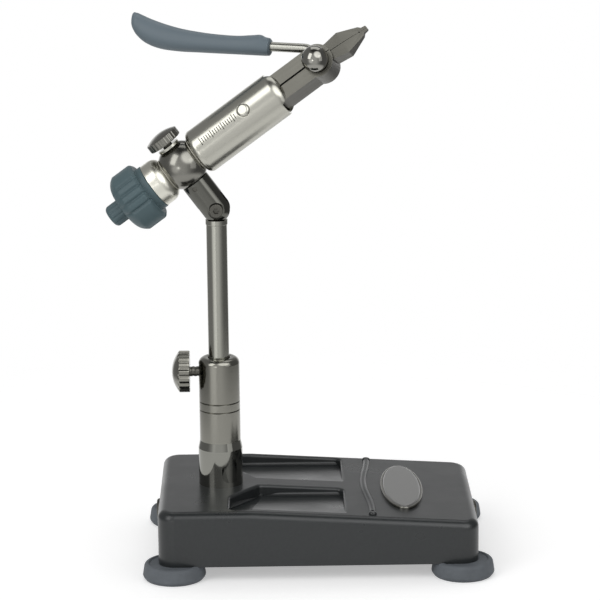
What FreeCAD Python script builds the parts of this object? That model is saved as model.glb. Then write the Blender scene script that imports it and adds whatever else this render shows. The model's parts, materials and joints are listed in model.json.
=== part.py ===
import FreeCAD, Part
import math
import os

from FreeCAD import Matrix, Placement, Rotation, Vector

# A rotary fly tying vise on a heavy pedestal. Lengths are in millimetres and angles in degrees.
# Pieces are modelled round the post's axis, which stands on the bench plane, and are shifted by
# post_x when they are saved, so that the origin lies under the middle of the whole vise.
post_x = -38.6

# Fits
running_gap = 0.05  # radial gap of a shaft that turns or slides in its bore
face_gap = 0.05  # gap between faces that pass each other
loose_gap = 0.3  # gap between pieces that must never touch
cam_gap = 0.25  # play between the cam's flats and the two jaw arms

# Base casting
base_length = 151.6
base_width = 99.0
base_corner = 8.0
base_left = -29.4  # left end, measured from the post's axis
base_height_left = 26.4
base_height_right = 20.0
base_slope_start = 14.0  # where the level top starts to slope down
base_slope_blend = 30.0
base_edge_round = 4.0

# Rubber feet
foot_radius = 15.0
foot_height = 7.1  # height of the face that carries the casting
foot_lip = 0.5  # outer rim that stands above that face
foot_lip_radius = 11.5
foot_inset = 7.4  # from the casting's ends and sides to the foot's centre
foot_recess_radius = 5.0
foot_recess_depth = 4.4
foot_screw_radius = 2.0
foot_screw_head_radius = 4.0
foot_screw_head = 2.6
foot_screw_reach = 9.0  # how far the screw goes into the casting

# Tool trays in the base's top
tray_floor = 5.8  # depth of the deep edge below the level top
tray_right = 58.8
tray_left = 4.7
tray_neck = 18.8  # where the slanting left wall meets the narrow side
tray_length = 38.0
tray_slant = 18.5
front_tray_back = -5.0
rear_tray_back = 44.2
tray_corner = 3.0
tray_slant_run = 20.0  # distance over which the corner ramp rises
tray_rim_round = 1.4  # rounded upper edge of the walls
tray_foot_round = 1.6  # cove where the walls meet the floor

# Oval badge, rail and end plugs
badge_x = 87.6
badge_y = -0.9
badge_half_width = 10.2
badge_half_length = 33.2
badge_rim_width = 1.1
badge_rim_height = 1.3
badge_face_height = 1.7
badge_dome = 0.8  # rounding of the domed face's edge
rail_x = 72.1
rail_bow = 2.8  # how far the rib's middle stands out to the left
rail_skew = 0.45  # how far that bow leans towards the back
rail_back = 41.4
rail_front = -40.2
rail_width = 3.2
rail_height = 1.2
rail_pin_radius = 1.9
rail_pin_depth = 5.0
rail_pin_height = 1.1
rail_pin_gap = 0.3
plug_radius = 5.0
plug_proud = 2.0
plug_shank_radius = 3.8
plug_shank_length = 7.0

# Post
collar_radius = 10.65
collar_height = 18.0
bevel_height = 3.9
sleeve_radius = 9.85
sleeve_height = 41.1
sleeve_shoulder = 2.8
sleeve_lip = 2.0  # thickness of the top lip that holds the liner down
groove_low = 15.3  # first of two turned grooves, above the sleeve's foot
groove_pitch = 4.1
groove_depth = 0.35
spigot_radius = 8.6
spigot_length = 8.0
liner_radius = 7.0
liner_slit = 1.0
bolt_radius = 4.0
bolt_reach = 9.5  # thread inside the collar
bolt_head_radius = 6.5
bolt_head = 7.0
bolt_socket_radius = 3.4
washer_radius = 9.0
washer_thickness = 1.5
bolt_floor_gap = 1.0  # bolt head above the casting's underside

# Stem
stem_radius = 5.0
stem_reach = 65.2  # upper end of the rod above the sleeve's top
stem_bottom = 26.5  # lower end of the rod above the base's top
knuckle_radius = 5.3
knuckle_height = 2.3
knuckle_floor = 0.3  # least metal under the seat for the link's round end
knuckle_spigot_radius = 2.5
knuckle_spigot = 9.0
tongue_thickness = 5.0
tongue_radius = 5.0

# Post clamp screw
clamp_below_top = 7.1
clamp_screw_radius = 2.5
clamp_pad_radius = 2.2
clamp_pad_length = 1.6
clamp_rest_gap = 0.15
clamp_shank = 4.2  # bare shank between the sleeve and the knob
clamp_knob_radius = 10.0
clamp_knob_rim = 5.0
clamp_knob_dome = 3.7
clamp_flutes = 16
flute_radius = 1.1
flute_depth = 0.55

# Tilt link and bearing ball
tilt_rest = 36.2  # head axis above the horizontal
link_radius = 7.0
ball_from_pivot = 26.3
link_top = 9.7  # upper end of the link from the ball's centre
pivot_screw_radius = 2.0
pivot_head_radius = 3.3
pivot_head = 3.0
pivot_recess_radius = 4.0
pivot_recess = 3.5
pivot_hex = 1.6
pivot_reach = 5.6  # tip of the screw beyond the link's middle
setscrew_radius = 1.2
setscrew_length = 1.6
setscrew_drop = 2.2  # below the link's upper end
setscrew_turn = 13.0
setscrew_sunk = 0.4
ball_radius = 11.65
ball_half_width = 8.0
ball_flat = 10.3  # spot face under the brake screw, from the ball's centre
ball_stud_radius = 2.5
ball_stud_inner = 7.6
ball_stud_length = 8.6
bush_outer = 6.5
bush_flange_radius = 8.2
bush_flange = 0.4
bush_middle_gap = 5.4

# Head brake screw
brake_collar_radius = 5.5
brake_collar_height = 1.2
brake_screw_radius = 2.5
brake_pad_radius = 2.2
brake_pad_length = 2.0
brake_rest_gap = 0.1
brake_shank = 1.5
brake_knob_radius = 8.3
brake_knob_rim = 3.8
brake_knob_dome = 2.0
brake_flutes = 24
brake_flute_radius = 0.7
brake_flute_depth = 0.4

# Rotary head
head_roll = 27.0  # roll of the head about its own axis, jaws' flat side turned up
shaft_radius = 5.0
shaft_bore = 2.8
shaft_flange_radius = 8.0
shaft_flange = 1.5
shaft_tail = 13.0  # shaft inside the hand wheel
barrel_radius = 11.3
barrel_length = 52.35
barrel_rear_wall = 4.05
barrel_wall = 1.8
barrel_front_wall = 4.8
barrel_rear_round = 3.0
barrel_front_round = 5.5
slot_gap = 0.1  # between the jaws' flat sides and the barrel's slot
badge_gap = 0.05
cup_length = 8.35
cup_radius = 10.6
cup_front_round = 3.0
wheel_flange = 3.8
wheel_flange_radius = 11.3
wheel_length = 10.5
wheel_radius = 14.75
wheel_dome = 3.8
wheel_dome_radius = 5.6
wheel_round = 2.2
wheel_lobes = 3
wheel_grooves = 4
wheel_groove_pitch = 17.8
wheel_groove_radius = 0.9
wheel_groove_depth = 0.55
wheel_turn = 8.5  # turn of the first finger rest from the side that faces the viewer
wheel_setscrew_radius = 1.5

# Jaws: two arms that rock on a cross pin, opened by a cam between them
jaw_thickness = 15.0
jaw_half_height = 6.95
pin_from_rear = 31.25  # cross pin from the barrel's rear face
pin_radius = 2.5
pin_head_radius = 3.2
pin_head = 1.5
pin_recess = 0.5
pin_recess_radius = 3.45
ear_radius = 4.5
ear_half_width = 2.9
ear_gap = 0.2
ear_clear = 0.6
tail_start = 19.55  # rear end of the arms from the barrel's rear face
tail_clear = 0.7  # room round the arms' turned tails in the barrel
slit_half = 0.45
tip_slit_half = 0.03
cam_from_front = 19.95  # cam axle from the barrel's front end
cam_below_slit = 0.6
cam_radius = 3.5
cam_flat = 2.6
cam_half_length = 4.5
cam_seat_half = 3.9
cam_spigot_radius = 2.0
cam_ball_radius = 6.25
cam_ball_offset = 10.8
cam_ball_gap = 0.5
boss_radius = 7.9
neck_from_cam = 7.6
neck_half_height = 4.4
neck_half_thickness = 5.3
cheek_from_cam = 14.6
cheek_half_height = 5.7
cheek_half_thickness = 4.3
shoulder_from_cam = 24.2
shoulder_half_height = 2.6
tip_from_cam = 27.65
nose_length = 2.3
nose_half_height = 1.45
nose_half_thickness = 1.2
tip_half_height = 1.2
tip_half_thickness = 0.9
tip_round = 0.6
pit_from_tip = 4.2
pit_radius = 0.35
pit_depth = 0.5

# Lever
lever_radius = 2.25
lever_slot_gap = 0.4
lever_press = 20.0  # swing of the lever that opens the jaws
lever_rise = 9.3  # from the cam's axis to the corner of the bend
lever_bend_radius = 6.0
lever_angle = 139.5
grip_start = 19.0  # from the corner of the bend along the rod
rod_in_grip = 40.0
grip_nose_round = 1.3

# Closing spring, cone and adjuster
cone_flange = 1.5
cone_base_radius = 3.8
cone_tip_radius = 1.6
cone_length = 7.0
cone_stem_radius = 2.8
cone_stem = 5.0
cone_play = 0.1
spring_radius = 4.6
spring_wire = 1.2
spring_turns = 4
seat_thickness = 1.5
adjust_travel = 1.6
spindle_radius = 2.5
adjuster_radius = 5.4
adjuster_length = 7.8
adjuster_round = 2.0
adjuster_flutes = 12
adjuster_flute_radius = 0.6
adjuster_flute_depth = 0.3

# Levels and places that follow from the sizes above
base_bottom = foot_height
base_top = base_bottom + base_height_left
base_right = base_left + base_length
slope_drop = base_height_left - base_height_right
slope_angle = math.degrees(math.atan2(slope_drop, base_right - base_slope_start))
collar_top = base_top + collar_height
sleeve_foot = collar_top + bevel_height
sleeve_top = sleeve_foot + sleeve_height
liner_top = sleeve_top - sleeve_lip
spigot_bottom = sleeve_foot - spigot_length
rod_top = sleeve_top + stem_reach
pivot_level = rod_top + knuckle_floor + loose_gap + link_radius
stem_bore = stem_radius + running_gap
clamp_level = sleeve_top - clamp_below_top
barrel_bore = barrel_radius - barrel_wall
tail_turned_radius = barrel_bore - tail_clear
barrel_start = ball_half_width + bush_flange + face_gap
barrel_end = barrel_start + barrel_length
pin_u = barrel_start + pin_from_rear
tail_u = barrel_start + tail_start
slot_u = barrel_end - barrel_front_wall
slot_half = jaw_thickness / 2 + slot_gap
cam_u = barrel_end + cam_from_front
tip_u = cam_u + tip_from_cam
cup_rear = -barrel_start - cup_length
wheel_front = cup_rear - wheel_flange
wheel_rear = wheel_front - wheel_length
dome_rear = wheel_rear - wheel_dome
shaft_rear = cup_rear - shaft_tail
shaft_front = barrel_start + barrel_rear_wall
seat_rest = shaft_front + shaft_flange + adjust_travel + loose_gap
seat_front = seat_rest + seat_thickness
cone_u = tail_u - cone_play - cone_flange - loose_gap
disc_radius = barrel_bore - running_gap


def rounded_outline(corners):
    """Closed wire in the XY plane through corners (x, y, radius), each corner rounded to its radius."""
    count = len(corners)
    arcs = []
    for i, (x, y, radius) in enumerate(corners):
        here = Vector(x, y, 0)
        back = Vector(corners[i - 1][0], corners[i - 1][1], 0) - here
        ahead = Vector(corners[(i + 1) % count][0], corners[(i + 1) % count][1], 0) - here
        back.normalize()
        ahead.normalize()
        if radius <= 0:
            arcs.append((here, here, here))
            continue
        half = back.getAngle(ahead) / 2
        setback = radius / math.tan(half)
        inward = (back + ahead).normalize()
        middle = here + inward * (radius / math.sin(half) - radius)
        arcs.append((here + back * setback, middle, here + ahead * setback))
    edges = []
    for i, (enter, middle, leave) in enumerate(arcs):
        before = arcs[i - 1][2]
        if before.distanceToPoint(enter) > 1e-6:
            edges.append(Part.LineSegment(before, enter).toShape())
        if enter.distanceToPoint(leave) > 1e-6:
            edges.append(Part.Arc(enter, middle, leave).toShape())
    return Part.Wire(edges)


def prism(corners, low, high):
    """Solid over a rounded outline in the XY plane, from z = low to z = high."""
    face = Part.Face(rounded_outline(corners))
    face.translate(Vector(0, 0, low))
    return face.extrude(Vector(0, 0, high - low))


def turned(corners):
    """Solid of revolution about the X axis of an outline (position along X, radius, corner radius)."""
    return Part.Face(rounded_outline(corners)).revolve(Vector(0, 0, 0), Vector(1, 0, 0), 360)


def pin(radius, start, end):
    """Round bar between two points."""
    run = end - start
    return Part.makeCylinder(radius, run.Length, start, run)


def along_x(radius, low, high):
    return pin(radius, Vector(low, 0, 0), Vector(high, 0, 0))


def joined(shape, *others):
    return shape.fuse(list(others)).removeSplitter()


def stood_up(shape):
    """Turns a solid made about the X axis so that its axis is the post's, +X becoming +Z."""
    shape.rotate(Vector(0, 0, 0), Vector(0, 1, 0), -90)
    return shape


def fluted(knob, radius, depth, reach, count, low, high):
    """Cuts equal round flutes along X into the rim of a knob whose radius is reach."""
    for i in range(count):
        turn = math.radians(360.0 * i / count)
        centre = Vector(0, math.cos(turn), math.sin(turn)) * (reach + radius - depth)
        flute = pin(radius, centre + Vector(low, 0, 0), centre + Vector(high, 0, 0))
        knob = knob.cut(flute)
    return knob


def hex_socket(across, low, high):
    """Hexagonal prism about the X axis, with the given half width across corners."""
    points = []
    for i in range(7):
        turn = math.radians(60.0 * i)
        points.append(Vector(low, across * math.cos(turn), across * math.sin(turn)))
    return Part.Face(Part.makePolygon(points)).extrude(Vector(high - low, 0, 0))


# The head's frames: u runs from the ball's centre to the jaws' tip. The link's frame has v square
# to u, away from the pivot, and w towards the viewer. The head's own frame is rolled about u.
tilt = math.radians(tilt_rest)
axis_u = Vector(math.cos(tilt), 0, math.sin(tilt))
axis_v = Vector(-math.sin(tilt), 0, math.cos(tilt))
axis_w = Vector(0, -1, 0)
ball_centre = Vector(0, 0, pivot_level) + axis_v * ball_from_pivot
link_frame = Placement(ball_centre, Rotation(axis_u, axis_v, axis_w, "XYZ"))
head_frame = link_frame.multiply(Placement(Vector(0, 0, 0), Rotation(Vector(1, 0, 0), -head_roll)))

# The sloping part of the base's top has its own frame, with X down the slope and Z off the face.
slope_frame = Placement(Vector(base_slope_start, 0, base_top), Rotation(Vector(0, 1, 0), slope_angle))

parts = {}


def on_bench(name, shape):
    parts[name] = shape


def in_link(name, shape):
    shape.Placement = link_frame.multiply(shape.Placement)
    parts[name] = shape


def in_head(name, shape):
    shape.Placement = head_frame.multiply(shape.Placement)
    parts[name] = shape


def on_slope(name, shape):
    shape.Placement = slope_frame.multiply(shape.Placement)
    parts[name] = shape


def top_level(x):
    """Height of the base's top at x."""
    return base_top - max(0.0, x - base_slope_start) * math.tan(math.radians(slope_angle))


def slope_x(x):
    """Distance down the slope of a point at x, in the slope's frame."""
    return (x - base_slope_start) / math.cos(math.radians(slope_angle))


def foot_places():
    left = base_left + foot_inset
    right = base_right - foot_inset
    side = base_width / 2 - foot_inset
    return {
        "foot_front_left": Vector(left, -side, 0),
        "foot_front_right": Vector(right, -side, 0),
        "foot_rear_left": Vector(left, side, 0),
        "foot_rear_right": Vector(right, side, 0),
    }


def ramp(deep_a, deep_b, rise, low, run_a, run_b):
    """Cutter with a straight deep edge from deep_a to deep_b at height low. Its floor rises in the
    direction rise and meets the top after run_a at one end and run_b at the other."""
    sections = []
    for point, run in ((deep_a, run_a), (deep_b, run_b)):
        far = point + rise * run
        above = base_top + plug_proud
        wire = Part.makePolygon([
            Vector(point.x, point.y, low),
            Vector(far.x, far.y, top_level(far.x)),
            Vector(far.x, far.y, above),
            Vector(point.x, point.y, above),
            Vector(point.x, point.y, low),
        ])
        sections.append(wire)
    return Part.makeLoft(sections, True, True)


def rimmed_pocket(corners):
    """Cutter over a rounded outline, with vertical walls whose upper edge on the base is rounded. It
    follows the base's top, level up to base_slope_start and sloping after it."""
    rim_level = base_top - tray_rim_round
    above = base_top + plug_proud
    wide_face = Part.Face(rounded_outline(corners)).makeOffset2D(tray_rim_round)
    wide_face.translate(Vector(0, 0, rim_level))
    rim = wide_face.OuterWire
    start = rim.Edges[0]
    at = start.valueAt(start.FirstParameter)
    ring = Part.Wire(Part.makeCircle(tray_rim_round, at, start.tangentAt(start.FirstParameter)))
    rounding = rim.makePipeShell([ring], True, False)
    flare = wide_face.extrude(Vector(0, 0, above - rim_level)).cut(rounding)
    pocket = prism(corners, base_bottom, rim_level).fuse(flare)
    level_side = Part.makeBox(base_length, 2 * base_width, 2 * base_top,
                              Vector(base_slope_start - base_length, -base_width, 0))
    sloping = Matrix()
    drop = math.tan(math.radians(slope_angle))
    sloping.A31 = -drop
    sloping.A34 = drop * base_slope_start
    return pocket.common(level_side).fuse(pocket.cut(level_side).transformGeometry(sloping))


def tray_cove(start, end, inward, rise):
    """Metal left in the corner between a tray's wall, which runs from start to end, and its floor,
    which rises inwards by rise per millimetre."""
    low = base_top - tray_floor
    size = tray_foot_round
    centre = size * (rise + math.sqrt(1 + rise * rise)) * 0.97
    foot = Vector(start.x, start.y, low - 1)
    block = Part.Face(Part.makePolygon([
        foot - inward,
        foot + inward * size,
        foot + inward * size + Vector(0, 0, 1 + centre),
        foot - inward + Vector(0, 0, 1 + centre),
        foot - inward,
    ])).extrude(end - start)
    axis = Vector(start.x, start.y, low + centre) + inward * size
    return block.cut(pin(size, axis, axis + (end - start)))


def tray(back, front_wide):
    """Tool tray: an outline with one slanting wall, deep at the back and ramped up to the front."""
    front = back - tray_length
    if front_wide:
        near = Vector(tray_neck, back, 0)
        far = Vector(tray_left, back - tray_slant, 0)
        left_corners = [(near.x, near.y, tray_corner), (far.x, far.y, 2 * tray_corner),
                        (tray_left, front, tray_corner)]
        wall_start = tray_neck
    else:
        near = Vector(tray_left, front + tray_slant, 0)
        far = Vector(tray_neck, front, 0)
        left_corners = [(tray_left, back, tray_corner), (near.x, near.y, 2 * tray_corner),
                        (far.x, far.y, tray_corner)]
        wall_start = tray_left
    corners = left_corners + [(tray_right, front, tray_corner), (tray_right, back, tray_corner)]
    low = base_top - tray_floor
    margin = 2 * tray_corner
    forward = Vector(0, -1, 0)
    floor = ramp(Vector(tray_left - margin, back + margin, 0), Vector(tray_right + margin, back + margin, 0),
                 forward, low - tray_floor * margin / tray_length, tray_length + margin, tray_length + margin)
    back_rise = (top_level((tray_left + tray_right) / 2) - low) / tray_length
    cove = tray_cove(Vector(wall_start - margin, back, 0), Vector(tray_right + margin, back, 0), forward, back_rise)
    room = floor.cut(cove)
    if front_wide:
        run = (far - near).normalize()
        across = Vector(-run.y, run.x, 0)
        start = near - run * margin
        end = far + run * tray_length
        corner_floor = ramp(start - across * margin, end - across * margin, across,
                            low - tray_floor * margin / tray_slant_run, tray_slant_run + margin, tray_slant_run + margin)
        corner_cove = tray_cove(start, end, across, tray_floor / tray_slant_run)
        room = room.fuse(corner_floor.cut(corner_cove))
    return rimmed_pocket(corners).common(room)


def base_casting():
    side = [
        (base_left, base_bottom, 0),
        (base_right, base_bottom, 0),
        (base_right, base_bottom + base_height_right, 0),
        (base_slope_start, base_top, base_slope_blend),
        (base_left, base_top, 0),
    ]
    body = prism(side, -base_width / 2, base_width / 2)
    body.rotate(Vector(0, 0, 0), Vector(1, 0, 0), 90)
    half = base_width / 2
    plan = [(base_left, -half, base_corner), (base_right, -half, base_corner),
            (base_right, half, base_corner), (base_left, half, base_corner)]
    body = body.common(prism(plan, 0, base_top + 1))
    rim = []
    for edge in body.Edges:
        box = edge.BoundBox
        level = top_level(box.XMax)
        at_side = max(abs(box.YMin), abs(box.YMax)) > half - base_corner - 0.1
        across = box.XMax - box.XMin < 0.1 and (box.XMax > base_right - 0.1 or box.XMin < base_left + 0.1)
        if box.ZMin > level - base_edge_round and (at_side or across) and box.ZMax - box.ZMin < base_height_right / 2:
            rim.append(edge)
    body = body.makeFillet(base_edge_round, rim)
    body = body.cut(tray(rear_tray_back, False))
    body = body.cut(tray(front_tray_back, True))
    head_room = bolt_floor_gap + bolt_head + washer_thickness
    body = body.cut(pin(washer_radius + loose_gap, Vector(0, 0, base_bottom), Vector(0, 0, base_bottom + head_room)))
    body = body.cut(pin(bolt_radius + loose_gap, Vector(0, 0, base_bottom), Vector(0, 0, base_top)))
    for place in foot_places().values():
        bottom = place + Vector(0, 0, base_bottom)
        body = body.cut(pin(foot_screw_radius, bottom, bottom + Vector(0, 0, foot_screw_reach)))
    for end, way in ((base_left, 1), (base_right, -1)):
        mouth = Vector(end, 0, plug_level(way))
        body = body.cut(pin(plug_shank_radius, mouth, mouth + Vector(way * plug_shank_length, 0, 0)))
    for y in rail_pin_places():
        foot = slope_frame.multVec(Vector(slope_x(rail_x), y, -rail_pin_depth))
        head = slope_frame.multVec(Vector(slope_x(rail_x), y, 0))
        body = body.cut(pin(rail_pin_radius / 2, foot, head))
    return body


def plug_level(way):
    """Height of an end plug: half way up its end face; way is 1 at the left end and -1 at the right."""
    height = base_height_left if way > 0 else base_height_right
    return base_bottom + height / 2


def end_plug(way):
    end = base_left if way > 0 else base_right
    plug = turned([
        (-plug_proud, 0, 0),
        (-plug_proud, plug_radius, 1.2),
        (0, plug_radius, 0),
        (0, plug_shank_radius, 0),
        (plug_shank_length, plug_shank_radius, 0),
        (plug_shank_length, 0, 0),
    ])
    if way < 0:
        plug.rotate(Vector(0, 0, 0), Vector(0, 0, 1), 180)
    plug.translate(Vector(end, 0, plug_level(way)))
    return plug


def foot():
    top = foot_height + foot_lip
    body = stood_up(turned([
        (0, foot_recess_radius, 0),
        (0, foot_radius - 1.2, 0),
        (1.6, foot_radius, 1.5),
        (top, foot_radius - 1.0, 1.8),
        (top, foot_lip_radius + 0.6, 0),
        (foot_height, foot_lip_radius, 0),
        (foot_height, foot_screw_radius, 0),
        (foot_recess_depth, foot_screw_radius, 0),
        (foot_recess_depth, foot_recess_radius, 0),
    ]))
    return body


def casting_outline():
    """Outline of the casting's foot, for trimming the rim of each rubber foot."""
    half = base_width / 2
    return prism([(base_left, -half, base_corner), (base_right, -half, base_corner),
                  (base_right, half, base_corner), (base_left, half, base_corner)],
                 base_bottom, base_bottom + foot_lip + 1)


def foot_screw():
    head_low = foot_recess_depth - foot_screw_head
    return stood_up(turned([
        (head_low, 0, 0),
        (head_low, foot_screw_head_radius, 1.0),
        (foot_recess_depth, foot_screw_head_radius, 0),
        (foot_recess_depth, foot_screw_radius, 0),
        (base_bottom + foot_screw_reach, foot_screw_radius, 0),
        (base_bottom + foot_screw_reach, 0, 0),
    ]))


def ellipse_face(half_x, half_y, z):
    major = Part.Ellipse(Vector(0, half_y, z), Vector(half_x, 0, z), Vector(0, 0, z))
    return Part.Face(Part.Wire(major.toShape()))


def badge_rim():
    ring = ellipse_face(badge_half_width, badge_half_length, 0).extrude(Vector(0, 0, badge_rim_height))
    ring = ring.makeFillet(badge_rim_height / 3, [e for e in ring.Edges if e.BoundBox.ZMin > badge_rim_height / 2])
    inner = ellipse_face(badge_half_width - badge_rim_width, badge_half_length - badge_rim_width, 0)
    ring = ring.cut(inner.extrude(Vector(0, 0, badge_rim_height)))
    ring.translate(Vector(slope_x(badge_x), badge_y, 0))
    return ring


def badge_face():
    """Plain face of the badge, domed at its edge like a poured resin label."""
    half_x = badge_half_width - badge_rim_width - badge_gap
    half_y = badge_half_length - badge_rim_width - badge_gap
    body = ellipse_face(half_x, half_y, 0).extrude(Vector(0, 0, badge_face_height))
    body = body.makeFillet(badge_dome, [e for e in body.Edges if e.BoundBox.ZMin > badge_face_height / 2])
    body.translate(Vector(slope_x(badge_x), badge_y, 0))
    return body


def rail_pin_places():
    return (rail_back + rail_pin_gap + rail_pin_radius, rail_front - rail_pin_gap - rail_pin_radius)


def hook_rail():
    """Curved rib across the base with a half-round section. Over its length from back to front it
    bows out to the left by the square of a sine, leaned backwards by a full wave of a sine."""
    x = slope_x(rail_x)
    span = rail_back - rail_front
    steps = 10
    points = []
    for i in range(steps + 1):
        turn = math.pi * i / steps
        bow = rail_bow * math.sin(turn) ** 2 + rail_skew * math.sin(2 * turn)
        points.append(Vector(x - bow, rail_back - span * i / steps, 0))
    curve = Part.BSplineCurve()
    curve.interpolate(points)
    path = Part.Wire(curve.toShape())
    start = curve.tangent(curve.FirstParameter)[0]
    side = Vector(0, 0, 1).cross(start)
    half = rail_width / 2
    arc = Part.Arc(points[0] - side * half, points[0] + Vector(0, 0, rail_height), points[0] + side * half)
    base = Part.LineSegment(points[0] + side * half, points[0] - side * half)
    section = Part.Wire([arc.toShape(), base.toShape()])
    shell = Part.BRepOffsetAPI.MakePipeShell(path)
    shell.setBiNormalMode(Vector(0, 0, 1))
    shell.add(section)
    shell.build()
    shell.makeSolid()
    return shell.shape()


def rail_pins():
    pins = []
    for y in rail_pin_places():
        head = stood_up(turned([
            (-rail_pin_depth, 0, 0),
            (-rail_pin_depth, rail_pin_radius / 2, 0),
            (0, rail_pin_radius / 2, 0),
            (0, rail_pin_radius, 0),
            (rail_pin_height, rail_pin_radius, 0.8),
            (rail_pin_height, 0, 0),
        ]))
        head.translate(Vector(slope_x(rail_x), y, 0))
        pins.append(head)
    return Part.makeCompound(pins)


def post_collar():
    body = stood_up(turned([
        (base_top, bolt_radius, 0),
        (base_top, collar_radius, 0),
        (collar_top, collar_radius, 0),
        (sleeve_foot, sleeve_radius, 0),
        (sleeve_foot, spigot_radius, 0),
        (spigot_bottom, spigot_radius, 0),
        (spigot_bottom, stem_radius + loose_gap, 0),
        (base_top + bolt_reach + 1.0, stem_radius + loose_gap, 0),
        (base_top + bolt_reach + 1.0, bolt_radius, 0),
    ]))
    return body


def post_sleeve():
    bore = liner_radius + running_gap
    low = sleeve_foot + groove_low
    high = low + groove_pitch
    corners = [
        (spigot_bottom, bore, 0),
        (spigot_bottom, spigot_radius, 0),
        (sleeve_foot, spigot_radius, 0),
        (sleeve_foot, sleeve_radius, 0),
    ]
    for level in (low, high):
        corners += [
            (level - groove_depth, sleeve_radius, 0),
            (level, sleeve_radius - groove_depth, 0),
            (level + groove_depth, sleeve_radius, 0),
        ]
    corners += [
        (sleeve_top, sleeve_radius, sleeve_shoulder),
        (sleeve_top, stem_radius + loose_gap, 0.6),
        (liner_top, stem_radius + loose_gap, 0),
        (liner_top, bore, 0),
    ]
    body = stood_up(turned(corners))
    tap = pin(clamp_screw_radius + running_gap, Vector(-sleeve_radius, 0, clamp_level), Vector(0, 0, clamp_level))
    return body.cut(tap)


def stem_liner():
    """Split plastic liner that grips the rod; it turns in the sleeve with the rod."""
    body = pin(liner_radius, Vector(0, 0, spigot_bottom + face_gap), Vector(0, 0, liner_top - face_gap))
    body = body.cut(pin(stem_bore, Vector(0, 0, spigot_bottom), Vector(0, 0, liner_top)))
    slit = Part.makeBox(liner_radius, liner_slit, sleeve_height + spigot_length + 1)
    slit.translate(Vector(0, -liner_slit / 2, spigot_bottom - 0.5))
    return body.cut(slit)


def post_bolt():
    head_low = base_bottom + bolt_floor_gap
    seat = head_low + bolt_head + washer_thickness
    bolt = stood_up(turned([
        (head_low, 0, 0),
        (head_low, bolt_head_radius, 0.6),
        (head_low + bolt_head, bolt_head_radius, 0),
        (head_low + bolt_head, bolt_radius, 0),
        (base_top + bolt_reach, bolt_radius, 0),
        (base_top + bolt_reach, 0, 0),
    ]))
    socket = stood_up(hex_socket(bolt_socket_radius, head_low, head_low + bolt_head / 2))
    washer = pin(washer_radius, Vector(0, 0, seat - washer_thickness), Vector(0, 0, seat))
    washer = washer.cut(pin(bolt_radius, Vector(0, 0, head_low), Vector(0, 0, seat)))
    return bolt.cut(socket), washer


def stem_rod():
    low = base_top + stem_bottom
    return stood_up(turned([
        (low, 0, 0),
        (low, stem_radius, 0.6),
        (rod_top, stem_radius, 0),
        (rod_top, knuckle_spigot_radius, 0),
        (rod_top - knuckle_spigot, knuckle_spigot_radius, 0),
        (rod_top - knuckle_spigot, 0, 0),
    ]))


def stem_knuckle():
    """Collar with a round seat under the link's end, and the flat tongue that carries the tilt pivot.
    A spigot holds it in the rod."""
    rim = rod_top + knuckle_height
    collar = stood_up(turned([
        (rod_top - knuckle_spigot, 0, 0),
        (rod_top - knuckle_spigot, knuckle_spigot_radius, 0),
        (rod_top, knuckle_spigot_radius, 0),
        (rod_top, knuckle_radius, 0.3),
        (rim, knuckle_radius, 0),
        (rim, 0, 0),
    ]))
    collar = collar.cut(Part.makeSphere(link_radius + loose_gap, Vector(0, 0, pivot_level)))
    half = tongue_thickness / 2
    tongue = pin(tongue_radius, Vector(0, -half, pivot_level), Vector(0, half, pivot_level))
    web = Part.makeBox(2 * tongue_radius, tongue_thickness, pivot_level - rod_top)
    web.translate(Vector(-tongue_radius, -half, rod_top))
    limits = pin(tongue_radius, Vector(0, 0, rod_top), Vector(0, 0, pivot_level + tongue_radius))
    body = joined(collar, web.common(limits), tongue.common(limits))
    hole = pin(pivot_screw_radius + running_gap, Vector(0, -half, pivot_level), Vector(0, half, pivot_level))
    return body.cut(hole)


def thumb_knob(radius, rim, dome, flutes, cut_radius, cut_depth, shank_radius):
    """Thumb knob about X: its flat face at x = 0, its rim towards +X, and on it a cap of a sphere."""
    knob = turned([
        (0, shank_radius, 0),
        (0, radius, 0.5),
        (rim + dome, radius, 0),
        (rim + dome, 0, 0),
        (rim / 2, 0, 0),
        (rim / 2, shank_radius, 0),
    ])
    cap_radius = (radius ** 2 + dome ** 2) / (2 * dome)
    knob = knob.common(Part.makeSphere(cap_radius, Vector(rim + dome - cap_radius, 0, 0)))
    return fluted(knob, cut_radius, cut_depth, radius, flutes, 0, rim + dome)


def clamp_pieces():
    """Post clamp: pad, screw and knob, made along +X and turned to point out of the post's left side."""
    pad_low = liner_radius + clamp_rest_gap
    screw_low = pad_low + clamp_pad_length
    knob_low = sleeve_radius + clamp_shank
    pad = along_x(clamp_pad_radius, pad_low, screw_low)
    screw = along_x(clamp_screw_radius, screw_low, knob_low + clamp_knob_rim / 2)
    knob = thumb_knob(clamp_knob_radius, clamp_knob_rim, clamp_knob_dome, clamp_flutes,
                      flute_radius, flute_depth, clamp_screw_radius)
    knob.translate(Vector(knob_low, 0, 0))
    for piece in (pad, screw, knob):
        piece.rotate(Vector(0, 0, 0), Vector(0, 0, 1), 180)
        piece.translate(Vector(0, 0, clamp_level))
    return pad, screw, knob


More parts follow.
